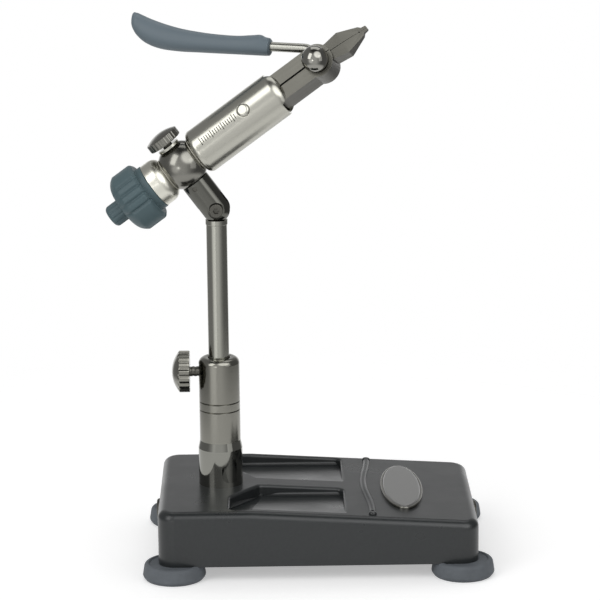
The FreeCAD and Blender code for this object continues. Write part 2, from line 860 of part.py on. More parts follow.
def tilt_link():
    """Round bar from the ball down to a round-ended clevis over the stem's tongue, in the link's frame."""
    pivot = Vector(0, -ball_from_pivot, 0)
    bar = pin(link_radius, pivot, Vector(0, -link_top, 0))
    bar = bar.fuse(Part.makeSphere(link_radius, pivot))
    half = tongue_thickness / 2 + face_gap
    slot_top = tongue_radius + loose_gap
    slot = Part.makeBox(2 * link_radius, link_radius + slot_top + 1, 2 * half,
                        Vector(-link_radius, -ball_from_pivot - link_radius - 1, -half))
    bar = bar.cut(slot)
    bar = bar.cut(Part.makeSphere(ball_radius))
    recess = pin(pivot_recess_radius, pivot + Vector(0, 0, link_radius - pivot_recess), pivot + Vector(0, 0, link_radius))
    bar = bar.cut(recess)
    bar = bar.cut(pin(pivot_screw_radius, pivot + Vector(0, 0, -pivot_reach), pivot + Vector(0, 0, link_radius)))
    bar = bar.cut(pin(ball_stud_radius, Vector(0, -ball_stud_inner - ball_stud_length, 0), Vector(0, 0, 0)))
    return bar.cut(link_setscrew_hole())


def link_setscrew_hole():
    mouth = Vector(0, -link_top - setscrew_drop, link_radius)
    hole = pin(setscrew_radius, mouth - Vector(0, 0, setscrew_length + setscrew_sunk), mouth)
    hole.rotate(Vector(0, 0, 0), Vector(0, 1, 0), -setscrew_turn)
    return hole


def link_setscrew():
    mouth = Vector(0, -link_top - setscrew_drop, link_radius - setscrew_sunk)
    screw = pin(setscrew_radius, mouth - Vector(0, 0, setscrew_length), mouth)
    screw.rotate(Vector(0, 0, 0), Vector(0, 1, 0), -setscrew_turn)
    return screw


def pivot_screw():
    seat = link_radius - pivot_recess
    screw = turned([
        (-pivot_reach, 0, 0),
        (-pivot_reach, pivot_screw_radius, 0),
        (seat, pivot_screw_radius, 0),
        (seat, pivot_head_radius, 0),
        (seat + pivot_head, pivot_head_radius, 0.4),
        (seat + pivot_head, 0, 0),
    ])
    screw = screw.cut(hex_socket(pivot_hex, seat + pivot_head / 2, seat + pivot_head))
    screw.rotate(Vector(0, 0, 0), Vector(0, 1, 0), -90)
    screw.translate(Vector(0, -ball_from_pivot, 0))
    return screw


def bearing_ball():
    ball = Part.makeSphere(ball_radius)
    keep = Part.makeBox(2 * ball_half_width, ball_radius + ball_flat, 2 * ball_radius,
                        Vector(-ball_half_width, -ball_radius, -ball_radius))
    ball = ball.common(keep)
    ball = ball.cut(along_x(bush_outer, -ball_half_width, ball_half_width))
    ball = ball.cut(pin(brake_screw_radius + running_gap, Vector(0, 0, 0), Vector(0, ball_flat, 0)))
    ball = ball.cut(pin(ball_stud_radius, Vector(0, -ball_radius, 0), Vector(0, -ball_stud_inner, 0)))
    return ball


def bearing_bush(way):
    """Flanged plastic bush in the ball's bore; way is 1 for the jaw side."""
    bore = shaft_radius + running_gap
    bush = turned([
        (bush_middle_gap / 2, bore, 0),
        (bush_middle_gap / 2, bush_outer, 0),
        (ball_half_width, bush_outer, 0),
        (ball_half_width, bush_flange_radius, 0),
        (ball_half_width + bush_flange, bush_flange_radius, 0),
        (ball_half_width + bush_flange, bore, 0),
    ])
    if way < 0:
        bush.rotate(Vector(0, 0, 0), Vector(0, 0, 1), 180)
    return bush


def brake_pieces():
    """Head brake: collar, pad, screw and knob, made along +X and turned to point along v."""
    pad_low = shaft_radius + brake_rest_gap
    screw_low = pad_low + brake_pad_length
    collar_high = ball_flat + brake_collar_height
    knob_low = collar_high + brake_shank
    collar = along_x(brake_collar_radius, ball_flat, collar_high)
    collar = collar.cut(along_x(brake_screw_radius + running_gap, ball_flat, collar_high))
    pad = along_x(brake_pad_radius, pad_low, screw_low)
    screw = along_x(brake_screw_radius, screw_low, knob_low + brake_knob_rim / 2)
    knob = thumb_knob(brake_knob_radius, brake_knob_rim, brake_knob_dome, brake_flutes,
                      brake_flute_radius, brake_flute_depth, brake_screw_radius)
    knob.translate(Vector(knob_low, 0, 0))
    for piece in (collar, pad, screw, knob):
        piece.rotate(Vector(0, 0, 0), Vector(0, 0, 1), 90)
    return collar, pad, screw, knob


def head_shaft():
    thread = spindle_radius + running_gap
    return turned([
        (shaft_rear, thread, 0),
        (shaft_rear, shaft_radius, 0.4),
        (shaft_front, shaft_radius, 0),
        (shaft_front, shaft_flange_radius, 0),
        (shaft_front + shaft_flange, shaft_flange_radius, 0),
        (shaft_front + shaft_flange, shaft_bore, 0),
        (-ball_half_width, shaft_bore, 0),
        (-ball_half_width, thread, 0),
    ])


def barrel():
    body = turned([
        (barrel_start, shaft_radius, 0),
        (barrel_start, barrel_radius, barrel_rear_round),
        (barrel_end, barrel_radius, barrel_front_round),
        (barrel_end, 0, 0),
        (slot_u, 0, 0),
        (slot_u, barrel_bore, 0),
        (shaft_front, barrel_bore, 0),
        (shaft_front, shaft_radius, 0),
    ])
    slot = Part.makeBox(barrel_front_wall + 1, 2 * barrel_radius, 2 * slot_half,
                        Vector(slot_u, -barrel_radius, -slot_half))
    body = body.cut(slot)
    across = Vector(0, 0, barrel_radius + 1)
    centre = Vector(pin_u, 0, 0)
    body = body.cut(pin(pin_radius, centre - across, centre + across))
    for way in (1, -1):
        seat = centre + Vector(0, 0, way * (barrel_radius - pin_recess))
        body = body.cut(pin(pin_recess_radius, seat, centre + across * way))
    return body


def cross_pin():
    seat = barrel_radius - pin_recess
    body = turned([
        (-seat - pin_head, 0, 0),
        (-seat - pin_head, pin_head_radius, 1.3),
        (-seat, pin_head_radius, 0),
        (-seat, pin_radius, 0),
        (seat, pin_radius, 0),
        (seat, pin_head_radius, 0),
        (seat + pin_head, pin_head_radius, 1.3),
        (seat + pin_head, 0, 0),
    ])
    body.rotate(Vector(0, 0, 0), Vector(0, 1, 0), -90)
    body.translate(Vector(pin_u, 0, 0))
    return body


def rear_cup():
    return turned([
        (cup_rear, shaft_radius, 0),
        (cup_rear, cup_radius, 0),
        (-barrel_start, cup_radius, cup_front_round),
        (-barrel_start, shaft_radius, 0),
    ])


def hand_wheel():
    """Hand wheel with wide lobes and ribbed finger rests between them, and a flange in front."""
    body = turned([
        (cup_rear, shaft_radius, 0),
        (cup_rear, wheel_flange_radius, 0.8),
        (wheel_front, wheel_flange_radius, 0),
        (wheel_front, wheel_radius, wheel_round),
        (wheel_rear, wheel_radius, wheel_round),
        (dome_rear, wheel_dome_radius, 0.8),
        (dome_rear, spindle_radius + loose_gap, 0),
        (shaft_rear, spindle_radius + loose_gap, 0),
        (shaft_rear, shaft_radius, 0),
    ])
    reach = wheel_radius + wheel_groove_radius - wheel_groove_depth
    for lobe in range(wheel_lobes):
        for i in range(wheel_grooves):
            turn = wheel_turn + 360.0 * lobe / wheel_lobes + (i - (wheel_grooves - 1) / 2) * wheel_groove_pitch
            across = Vector(0, -math.sin(math.radians(turn)), math.cos(math.radians(turn))) * reach
            groove = pin(wheel_groove_radius, across + Vector(wheel_rear - 1, 0, 0), across + Vector(wheel_front + 1, 0, 0))
            body = body.cut(groove)
    return body.cut(wheel_setscrew())


def wheel_setscrew():
    u = (cup_rear + wheel_front) / 2
    return pin(wheel_setscrew_radius, Vector(u, 0, -shaft_radius), Vector(u, 0, -wheel_flange_radius + loose_gap))


def cam_centre():
    """Middle of the cam's axle, a little below the slit between the arms."""
    return Vector(cam_u, -cam_below_slit, 0)


def side_outline(way):
    """Side outline of one jaw arm in the head's frame, from tail to tip; way is 1 for the upper arm."""
    cone_slope = (cone_base_radius - cone_tip_radius) / cone_length
    tail_inner = cone_base_radius + cone_play
    ear_start = pin_u - ear_radius
    ear_inner = tail_inner - cone_slope * (ear_start - tail_u)
    nose = tip_u - nose_length
    return [
        (tail_u, way * tail_inner, 0.4),
        (ear_start, way * ear_inner, 0),
        (ear_start + ear_inner, way * slit_half, 0),
        (cam_u, way * slit_half, 0),
        (cam_u, way * tip_slit_half, 0),
        (tip_u, way * tip_slit_half, 0),
        (tip_u, way * tip_half_height, tip_round),
        (nose, way * nose_half_height, 0.5),
        (cam_u + shoulder_from_cam, way * shoulder_half_height, 0.8),
        (cam_u + cheek_from_cam, way * cheek_half_height, 1.0),
        (cam_u + neck_from_cam, way * neck_half_height, 0),
        (cam_u, way * neck_half_height, 0),
        (cam_u, way * jaw_half_height, 0),
        (tail_u, way * jaw_half_height, 1.0),
    ]


def jaw_width_limits():
    """Solid that narrows the jaws' head across the flats, from the round boss to the tip."""
    nose = tip_u - nose_length
    half = jaw_thickness / 2
    corners = [
        (tail_u - 1, half), (cam_u, half),
        (cam_u, neck_half_thickness),
        (cam_u + neck_from_cam, neck_half_thickness),
        (cam_u + cheek_from_cam, cheek_half_thickness),
        (nose, nose_half_thickness), (tip_u + 1, tip_half_thickness),
    ]
    upper = [Vector(u, 0, n) for u, n in corners]
    lower = [Vector(u, 0, -n) for u, n in reversed(corners)]
    wire = Part.makePolygon(upper + lower + [upper[0]])
    face = Part.Face(wire)
    face.translate(Vector(0, -2 * boss_radius, 0))
    across = Vector(0, 0, half)
    boss = pin(boss_radius, cam_centre() - across, cam_centre() + across)
    return face.extrude(Vector(0, 4 * boss_radius, 0)).fuse(boss)


def jaw(way):
    """One jaw arm: way is 1 for the upper arm, with the middle ear and the lever's slot, and -1 for
    the lower arm, with the two outer ears."""
    half = jaw_thickness / 2
    across = Vector(0, 0, half)
    body = prism(side_outline(way), -half, half)
    boss = pin(boss_radius, cam_centre() - across, cam_centre() + across)
    side = Part.makeBox(4 * boss_radius, 2 * boss_radius, jaw_thickness, Vector(cam_u - 2 * boss_radius, 0, -half))
    if way < 0:
        side.translate(Vector(0, -2 * boss_radius, 0))
    side.translate(Vector(0, way * tip_slit_half, 0))
    body = body.fuse(boss.common(side))
    wide_slit = Part.makeBox(cam_u - pin_u, 2 * slit_half, jaw_thickness, Vector(pin_u, -slit_half, -half))
    body = body.cut(wide_slit).removeSplitter()
    turned_tail = along_x(tail_turned_radius, tail_u - 1, slot_u + loose_gap)
    bar = Part.makeBox(tip_u, 4 * boss_radius, jaw_thickness + 2,
                       Vector(slot_u + loose_gap, -2 * boss_radius, -half - 1))
    body = body.common(turned_tail.fuse(bar))
    body = body.common(jaw_width_limits())
    # ears on the cross pin
    pin_centre = Vector(pin_u, 0, 0)
    ear = pin(ear_radius, pin_centre - across, pin_centre + across)
    ear = ear.common(along_x(tail_turned_radius, pin_u - ear_radius, pin_u + ear_radius))
    room = pin(ear_radius + ear_clear, pin_centre - across, pin_centre + across)
    wide = 4 * ear_radius
    middle = Part.makeBox(wide, wide, 2 * ear_half_width, Vector(pin_u - wide / 2, -wide / 2, -ear_half_width))
    gap = ear_half_width + ear_gap
    middle_room = Part.makeBox(wide, wide, 2 * gap, Vector(pin_u - wide / 2, -wide / 2, -gap))
    if way > 0:
        body = body.cut(room.cut(middle)).fuse(ear.common(middle))
    else:
        body = body.cut(room.common(middle_room)).fuse(ear.cut(middle_room))
    body = body.removeSplitter()
    body = body.cut(pin(pin_radius + running_gap, pin_centre - across, pin_centre + across))
    # seat for the cam and sockets for its two balls
    flat = cam_flat + cam_gap
    seat = Part.makeBox(2 * cam_seat_half, 2 * flat, jaw_thickness, Vector(cam_u - cam_seat_half, -cam_below_slit - flat, -half))
    body = body.cut(seat)
    for side_way in (1, -1):
        centre = cam_centre() + Vector(0, 0, side_way * cam_ball_offset)
        body = body.cut(Part.makeSphere(cam_ball_radius + cam_ball_gap, centre))
    if way > 0:
        body = body.cut(lever_slot())
    # small pit near the tip that holds a hook's bend
    pit = Vector(tip_u - pit_from_tip, 0, 0)
    body = body.cut(pin(pit_radius, pit + Vector(0, 0, nose_half_thickness - pit_depth), pit + across))
    return body


def lever_slot():
    """Room in the upper arm for the lever's rod over its whole swing: in front the rod at rest, and
    behind it the pressed rod's foot and the under side of the rod beyond its bend."""
    reach = lever_radius + lever_slot_gap
    swing = math.radians(lever_press)
    lean = math.radians(lever_angle + lever_press)
    floor = cam_flat - cam_below_slit
    top = boss_radius + 1
    pressed = Vector(-math.sin(swing), math.cos(swing), 0)
    away = Vector(math.cos(lean), math.sin(lean), 0)
    corner = cam_centre() + pressed * lever_rise
    inward = (away - pressed).normalize()
    bend = corner + inward * (reach / math.sin(away.getAngle(inward)))
    foot = bend - pressed * ((bend.y - floor) / pressed.y)
    mouth = bend + away * ((top - bend.y) / away.y)
    return prism([
        (cam_u + reach, floor, 0),
        (cam_u + reach, top, 0),
        (mouth.x, top, 0),
        (bend.x, bend.y, lever_bend_radius - reach),
        (foot.x, floor, 0),
    ], -reach, reach)


def lever_path():
    """Middle line of the lever's rod: up from the cam, round the bend and along to the grip."""
    corner = Vector(cam_u, lever_rise - cam_below_slit, 0)
    turn = math.radians(lever_angle - 90)
    setback = lever_bend_radius * math.tan(turn / 2)
    away = Vector(math.cos(math.radians(lever_angle)), math.sin(math.radians(lever_angle)), 0)
    start = cam_centre()
    enter = corner - Vector(0, setback, 0)
    leave = corner + away * setback
    centre = enter - Vector(lever_bend_radius, 0, 0)
    middle = centre + Vector(math.cos(turn / 2), math.sin(turn / 2), 0) * lever_bend_radius
    end = corner + away * (grip_start + rod_in_grip)
    return corner, away, [start, enter, middle, leave, end]


def lever_rod():
    corner, away, (start, enter, middle, leave, end) = lever_path()
    path = Part.Wire([
        Part.LineSegment(start, enter).toShape(),
        Part.Arc(enter, middle, leave).toShape(),
        Part.LineSegment(leave, end).toShape(),
    ])
    section = Part.Wire(Part.makeCircle(lever_radius, start, Vector(0, 1, 0)))
    return path.makePipeShell([section], True, True)


def cam_axle():
    """Axle with two flats between the arms and a spigot at each end for its ball."""
    end = cam_ball_offset
    axle = turned([
        (-end, 0, 0),
        (-end, cam_spigot_radius, 0),
        (-cam_half_length, cam_spigot_radius, 0),
        (-cam_half_length, cam_radius, 0),
        (cam_half_length, cam_radius, 0),
        (cam_half_length, cam_spigot_radius, 0),
        (end, cam_spigot_radius, 0),
        (end, 0, 0),
    ])
    flats = Part.makeBox(2 * end, 2 * cam_flat, 2 * cam_radius, Vector(-end, -cam_flat, -cam_radius))
    axle = axle.common(flats)
    axle.rotate(Vector(0, 0, 0), Vector(0, 1, 0), -90)
    axle.translate(cam_centre())
    start = lever_path()[2][0]
    return axle.cut(pin(lever_radius, start, start + Vector(0, cam_radius, 0)))


def cam_ball(way):
    centre = cam_centre() + Vector(0, 0, way * cam_ball_offset)
    ball = Part.makeSphere(cam_ball_radius, centre)
    spigot = pin(cam_spigot_radius, cam_centre(), centre)
    return ball.cut(spigot)


# Grip stations: distance from the grip's start along the rod, middle above the rod, half height
# and half width. The far end curls up into a wider thumb paddle.
grip_stations = [
    (0.0, 0.8, 4.2, 4.3),
    (5.0, 0.9, 4.6, 4.9),
    (15.0, 0.5, 4.1, 4.7),
    (27.0, 0.5, 4.1, 4.9),
    (38.0, 1.1, 4.5, 5.4),
    (48.0, 2.4, 5.1, 6.1),
    (57.0, 4.6, 5.5, 6.7),
    (64.0, 7.6, 5.2, 6.8),
    (68.6, 10.2, 3.9, 6.0),
    (71.2, 12.0, 2.0, 4.0),
]


def lever_grip():
    """Soft grip lofted through ellipses square to the rod, with a rounded nose and a hole for the rod."""
    corner, away, points = lever_path()
    up = Vector(away.y, -away.x, 0)
    sections = []
    for along, rise, half_height, half_width in grip_stations:
        centre = corner + away * (grip_start + along) + up * rise
        across = Vector(0, 0, half_width)
        if half_width >= half_height:
            oval = Part.Ellipse(centre + across, centre + up * half_height, centre)
        else:
            oval = Part.Ellipse(centre + up * half_height, centre + across, centre)
        sections.append(Part.Wire(oval.toShape()))
    body = Part.makeLoft(sections, True, False)
    nose = min(body.Edges, key=lambda edge: (edge.CenterOfMass - corner).Length)
    body = body.makeFillet(grip_nose_round, [nose])
    return body.cut(pin(lever_radius, corner, points[-1]))


def jaw_cone():
    """Spring-loaded cone that spreads the arms' tails and so closes the tips."""
    return turned([
        (cone_u - cone_stem, 0, 0),
        (cone_u - cone_stem, cone_stem_radius, 0.3),
        (cone_u, cone_stem_radius, 0),
        (cone_u, disc_radius, 0.3),
        (cone_u + cone_flange, disc_radius, 0.3),
        (cone_u + cone_flange, cone_base_radius, 0),
        (tail_u, cone_base_radius, 0),
        (tail_u + cone_length, cone_tip_radius, 0.4),
        (tail_u + cone_length, 0, 0),
    ])


def arc_under(start, corner, end):
    """Arc from start to end whose tangents at the two ends meet at corner."""
    middle = (start + end) / 2
    bend = (corner - start).getAngle(end - start)
    rise = (end - start).Length / 2 * math.tan(bend / 2)
    return Part.Arc(start, middle + (corner - middle).normalize() * rise, end).toShape()


def biarc(start, leaving, end, arriving):
    """Two arcs that join start to end, along the given directions at the two ends."""
    chord = end - start
    spread = 2 * (1 - leaving.dot(arriving))
    along = chord.dot(leaving + arriving)
    reach = (math.sqrt(along * along + spread * chord.dot(chord)) - along) / spread
    first = start + leaving * reach
    second = end - arriving * reach
    return [arc_under(start, first, (first + second) / 2), arc_under((first + second) / 2, second, end)]


def jaw_spring():
    """Coil spring between its seat and the cone, wound in quarter turns."""
    low = seat_front + spring_wire / 2
    length = cone_u - seat_front - spring_wire
    steps = 4 * spring_turns
    places = []
    for i in range(steps + 1):
        turn = math.pi / 2 * i
        place = Vector(low + length * i / steps, spring_radius * math.cos(turn), spring_radius * math.sin(turn))
        heading = Vector(length / steps * 2 / math.pi, -spring_radius * math.sin(turn), spring_radius * math.cos(turn))
        places.append((place, heading.normalize()))
    edges = []
    for (start, leaving), (end, arriving) in zip(places, places[1:]):
        edges += biarc(start, leaving, end, arriving)
    first, heading = places[0]
    section = Part.Wire(Part.makeCircle(spring_wire / 2, first, heading))
    return Part.Wire(edges).makePipeShell([section], True, False)


def spring_seat():
    return turned([
        (seat_rest, 0, 0),
        (seat_rest, disc_radius, 0.3),
        (seat_rest + seat_thickness, disc_radius, 0.3),
        (seat_rest + seat_thickness, 0, 0),
    ])


def adjuster_spindle():
    return along_x(spindle_radius, dome_rear - adjuster_length / 2, seat_rest)


def adjuster_knob():
    high = dome_rear - face_gap
    low = high - adjuster_length
    knob = turned([
        (low, 0, 0),
        (low, adjuster_radius, adjuster_round),
        (high, adjuster_radius, 0.3),
        (high, spindle_radius, 0),
        (dome_rear - adjuster_length / 2, spindle_radius, 0),
        (dome_rear - adjuster_length / 2, 0, 0),
    ])
    return fluted(knob, adjuster_flute_radius, adjuster_flute_depth, adjuster_radius,
                  adjuster_flutes, low + adjuster_round, high)


def build_all():
    on_bench("base_casting", base_casting())
    outline = casting_outline()
    screws = []
    for name, place in foot_places().items():
        piece = foot()
        piece.translate(place)
        on_bench(name, piece.cut(outline))
        screw = foot_screw()
        screw.translate(place)
        screws.append(screw)
    on_bench("foot_screws", Part.makeCompound(screws))
    on_slope("badge_rim", badge_rim())
    on_slope("badge_face", badge_face())
    on_slope("hook_rail", hook_rail())
    on_slope("rail_pins", rail_pins())
    on_bench("end_plug_left", end_plug(1))
    on_bench("end_plug_right", end_plug(-1))
    on_bench("post_collar", post_collar())
    on_bench("post_sleeve", post_sleeve())
    bolt, washer = post_bolt()
    on_bench("post_bolt", bolt)
    on_bench("post_washer", washer)
    on_bench("stem_liner", stem_liner())
    on_bench("stem_rod", stem_rod())
    on_bench("stem_knuckle", stem_knuckle())
    pad, screw, knob = clamp_pieces()
    on_bench("clamp_pad", pad)
    on_bench("clamp_screw", screw)
    on_bench("clamp_knob", knob)
    in_link("tilt_link", tilt_link())
    in_link("link_setscrew", link_setscrew())
    in_link("pivot_screw", pivot_screw())
    in_link("bearing_ball", bearing_ball())
    in_link("ball_stud", pin(ball_stud_radius, Vector(0, -ball_stud_inner - ball_stud_length, 0),
                             Vector(0, -ball_stud_inner, 0)))
    in_link("bearing_bush_front", bearing_bush(1))
    in_link("bearing_bush_rear", bearing_bush(-1))
    collar, pad, screw, knob = brake_pieces()
    in_link("brake_collar", collar)
    in_link("brake_pad", pad)
    in_link("brake_screw", screw)
    in_link("brake_knob", knob)
    in_head("head_shaft", head_shaft())
    in_head("barrel", barrel())
    in_head("cross_pin", cross_pin())
    in_head("rear_cup", rear_cup())
    in_head("hand_wheel", hand_wheel())
    in_head("wheel_setscrew", wheel_setscrew())
    in_head("upper_jaw", jaw(1))
    in_head("lower_jaw", jaw(-1))
    in_head("cam_axle", cam_axle())
    in_head("cam_ball_near", cam_ball(1))
    in_head("cam_ball_far", cam_ball(-1))
    in_head("lever_rod", lever_rod())
    in_head("lever_grip", lever_grip())
    in_head("jaw_cone", jaw_cone())
    in_head("jaw_spring", jaw_spring())
    in_head("spring_seat", spring_seat())
    in_head("adjuster_spindle", adjuster_spindle())
    in_head("adjuster_knob", adjuster_knob())


def save_all():
    os.makedirs("parts", exist_ok=True)
    for name, shape in parts.items():
        shape.translate(Vector(post_x, 0, 0))
        shape.exportStep(os.path.join("parts", name + ".step"))
        kind = "valid" if shape.isValid() else "NOT VALID"
        print(f"{name}: {len(shape.Solids)} solid, {shape.Volume:.1f} mm3, {kind}")


build_all()
save_all()
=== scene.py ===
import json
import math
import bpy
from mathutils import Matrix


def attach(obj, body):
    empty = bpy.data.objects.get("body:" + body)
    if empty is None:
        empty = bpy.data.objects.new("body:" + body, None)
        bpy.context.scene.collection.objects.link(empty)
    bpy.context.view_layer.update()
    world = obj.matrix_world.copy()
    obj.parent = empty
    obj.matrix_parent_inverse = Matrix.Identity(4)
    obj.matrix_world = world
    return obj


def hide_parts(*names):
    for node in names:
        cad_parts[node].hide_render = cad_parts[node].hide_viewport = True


bl_info = {
    "name": "Fly Tying Vise Finishes",
    "version": (1, 0, 0),
    "blender": (4, 5, 0),
    "location": "View3D > Sidebar > Vise",
    "description": "Finishes, turned knobs, threads, grip and graduations of a pedestal rotary vise",
    "category": "Object",
}

import bmesh
import bpy
import numpy as np
from mathutils import Matrix, Vector

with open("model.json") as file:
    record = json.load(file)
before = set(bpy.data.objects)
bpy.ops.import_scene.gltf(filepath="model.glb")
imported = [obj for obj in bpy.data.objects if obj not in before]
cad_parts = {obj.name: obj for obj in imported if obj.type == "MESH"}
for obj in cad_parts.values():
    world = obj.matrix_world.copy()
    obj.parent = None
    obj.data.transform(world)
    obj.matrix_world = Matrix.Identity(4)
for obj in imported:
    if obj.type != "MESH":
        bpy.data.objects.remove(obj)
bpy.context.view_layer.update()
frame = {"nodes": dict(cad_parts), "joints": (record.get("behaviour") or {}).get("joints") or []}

MM = 0.001


# Frames of the moving pieces, taken from the joints: an origin in metres and three unit axes. A
# turned piece stands on the first axis. The head's axes run along the barrel towards the jaws, up
# across it, and along the lever's axis towards the front.


def joint(name):
    """Joint of the frame, by its name."""
    return next(j for j in frame["joints"] if j["name"] == name)


def axis_of(name):
    """Unit axis of a joint."""
    return np.array(joint(name)["axis"], float)


def place_of(name):
    """Point on a joint's axis, in metres."""
    return np.array(joint(name)["pos_m"], float)


POST_X = place_of("clamp_turn")[0]
BALL = place_of("head_spin")
HEAD_U = axis_of("head_spin")
HEAD_N = axis_of("lever_swing")
HEAD_V = np.cross(HEAD_N, HEAD_U)
BRAKE_U = axis_of("brake_turn")
HEAD = (BALL, np.array([HEAD_U, HEAD_V, HEAD_N]))
BRAKE = (BALL, np.array([BRAKE_U, np.cross(BRAKE_U, HEAD_U), HEAD_U]))
CLAMP = (place_of("clamp_turn"), np.array([[-1.0, 0.0, 0.0], [0.0, -1.0, 0.0], [0.0, 0.0, 1.0]]))

# Place of the cam on the head's first two axes, in millimetres.
CAM_U = float((place_of("lever_swing") - BALL) @ HEAD_U) / MM
CAM_V = float((place_of("lever_swing") - BALL) @ HEAD_V) / MM


def in_frame(points, place):
    """Turns an array of points in millimetres, along the three axes of a frame, into metres."""
    origin, axes = place
    return origin + (points * MM) @ axes


def linear(code):
    """Linear colour of an sRGB hex value."""
    channels = [int(code[i:i + 2], 16) / 255 for i in (1, 3, 5)]
    return tuple(c / 12.92 if c <= 0.04045 else ((c + 0.055) / 1.055) ** 2.4 for c in channels)


def rgba(colour):
    """Colour with full opacity."""
    return (*colour[:3], 1.0)


# Meshes from grids of points


def ring_mesh(name, rings, start=None, end=None, crease=35.0):
    """Closed skin over a grid of points: each row is a ring round the piece, and the first and last
    rings end in one point each, their middles if none is given."""
    rows, columns, _ = rings.shape
    start = rings[0].mean(axis=0) if start is None else start
    end = rings[-1].mean(axis=0) if end is None else end
    verts = np.vstack([rings.reshape(-1, 3), start[None], end[None]])
    here = np.arange(rows * columns).reshape(rows, columns)
    ahead = np.roll(here, -1, axis=1)
    quads = np.stack([here[:-1], ahead[:-1], ahead[1:], here[1:]], axis=-1).reshape(-1, 4)
    first = np.stack([ahead[0], here[0], np.full(columns, rows * columns)], axis=-1)
    last = np.stack([here[-1], ahead[-1], np.full(columns, rows * columns + 1)], axis=-1)
    mesh = bpy.data.meshes.new(name)
    mesh.from_pydata(verts.tolist(), [], quads.tolist() + first.tolist() + last.tolist())
    return new_piece(name, mesh, crease)


def new_piece(name, mesh, crease):
    """Object at the origin for a mesh, smooth but for its creases, with its faces turned outwards."""
    mesh.validate()
    piece = bpy.data.objects.new(name, mesh)
    bpy.context.scene.collection.objects.link(piece)
    if signed_volume(mesh) < 0:
        mesh.flip_normals()
    mesh.shade_smooth()
    mesh.set_sharp_from_angle(angle=math.radians(crease))
    return piece


def triangles(mesh):
    """Points of a mesh and the corners of its triangles, as arrays."""
    mesh.calc_loop_triangles()
    corners = np.empty(len(mesh.loop_triangles) * 3, dtype=np.int32)
    mesh.loop_triangles.foreach_get("vertices", corners)
    points = np.empty(len(mesh.vertices) * 3)
    mesh.vertices.foreach_get("co", points)
    return points.reshape(-1, 3), corners.reshape(-1, 3)


def signed_volume(mesh):
    """Volume inside a closed mesh: a sixth of the sum, over its triangles, of the first corner times
    the cross product of the other two. It's negative where the faces point inwards."""
    points, corners = triangles(mesh)
    a, b, c = points[corners].transpose(1, 0, 2)
    return float(np.einsum("ij,ij->i", a, np.cross(b, c)).sum() / 6)


def smooth_curve(x, knots, values):
    """Cubic through the knots: between two of them it blends their values and their slopes by the
    share of the way gone, and a knot's slope comes from the knots on either side."""
    slopes = np.gradient(values, knots)
    i = np.clip(np.searchsorted(knots, x, side="right") - 1, 0, len(knots) - 2)
    width = knots[i + 1] - knots[i]
    t = (x - knots[i]) / width
    rise = values[i] * (1 + 2 * t) * (1 - t) ** 2 + values[i + 1] * t * t * (3 - 2 * t)
    return rise + width * (slopes[i] * t * (1 - t) ** 2 - slopes[i + 1] * t * t * (1 - t))


def rounded_profile(corners, steps=7):
    """Outline of a turned piece as an array of (along, radius). Corners are (along, radius, round).
    A round's centre lies on the line that halves its corner, at the round over the sine of half the
    corner's angle, and its points swing evenly from one straight side to the other."""
    points = np.array([c[:2] for c in corners], float)
    rounds = np.array([c[2] for c in corners], float)
    out = []
    for i, (here, size) in enumerate(zip(points, rounds)):
        if size <= 0 or i in (0, len(points) - 1):
            out.append(here[None])
            continue
        back = points[i - 1] - here
        ahead = points[i + 1] - here
        back = back / np.linalg.norm(back)
        ahead = ahead / np.linalg.norm(ahead)
        half = math.acos(np.clip(back @ ahead, -1, 1)) / 2
        middle = here + (back + ahead) / np.linalg.norm(back + ahead) * size / math.sin(half)
        enter = here + back * size / math.tan(half) - middle
        leave = here + ahead * size / math.tan(half) - middle
        sweep = math.acos(np.clip(enter @ leave / size ** 2, -1, 1))
        t = np.linspace(0, 1, steps)[:, None]
        out.append(middle + (np.sin((1 - t) * sweep) * enter + np.sin(t * sweep) * leave) / math.sin(sweep))
    return np.vstack(out)


def filled(profile, longest=0.6):
    """Adds points to an outline so that no straight run is longer than the given length."""
    out = [profile[:1]]
    for a, b in zip(profile[:-1], profile[1:]):
        count = max(1, int(np.ceil(np.linalg.norm(b - a) / longest)))
        t = np.arange(1, count + 1)[:, None] / count
        out.append(a + (b - a) * t)
    return np.vstack(out)


def turned_piece(name, place, corners, columns, depth=None, crease=35.0):
    """Surface of revolution about a frame's first axis. The radius at an angle is the outline's
    radius less depth(along, angle, radius)."""
    profile = filled(rounded_profile(corners))
    along = profile[:, 0][:, None]
    radius = profile[:, 1][:, None]
    angle = np.linspace(0, 2 * np.pi, columns, endpoint=False)[None, :]
    reach = np.broadcast_to(radius, (len(profile), columns)).copy()
    if depth is not None:
        reach -= depth(along, angle, radius)
    points = np.empty(reach.shape + (3,))
    points[..., 0] = along
    points[..., 1] = reach * np.cos(angle)
    points[..., 2] = reach * np.sin(angle)
    start = in_frame(np.array([profile[0, 0], 0.0, 0.0]), place)
    end = in_frame(np.array([profile[-1, 0], 0.0, 0.0]), place)
    return ring_mesh(name, in_frame(points, place), start, end, crease)


def dress(obj, body, slot, material, *replaced):
    """Gives a new piece its body and its finish, and hides the nodes that it replaces. The slot is not used.
    """
    obj.data.materials.append(material)
    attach(obj, body)
    if replaced:
        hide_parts(*replaced)


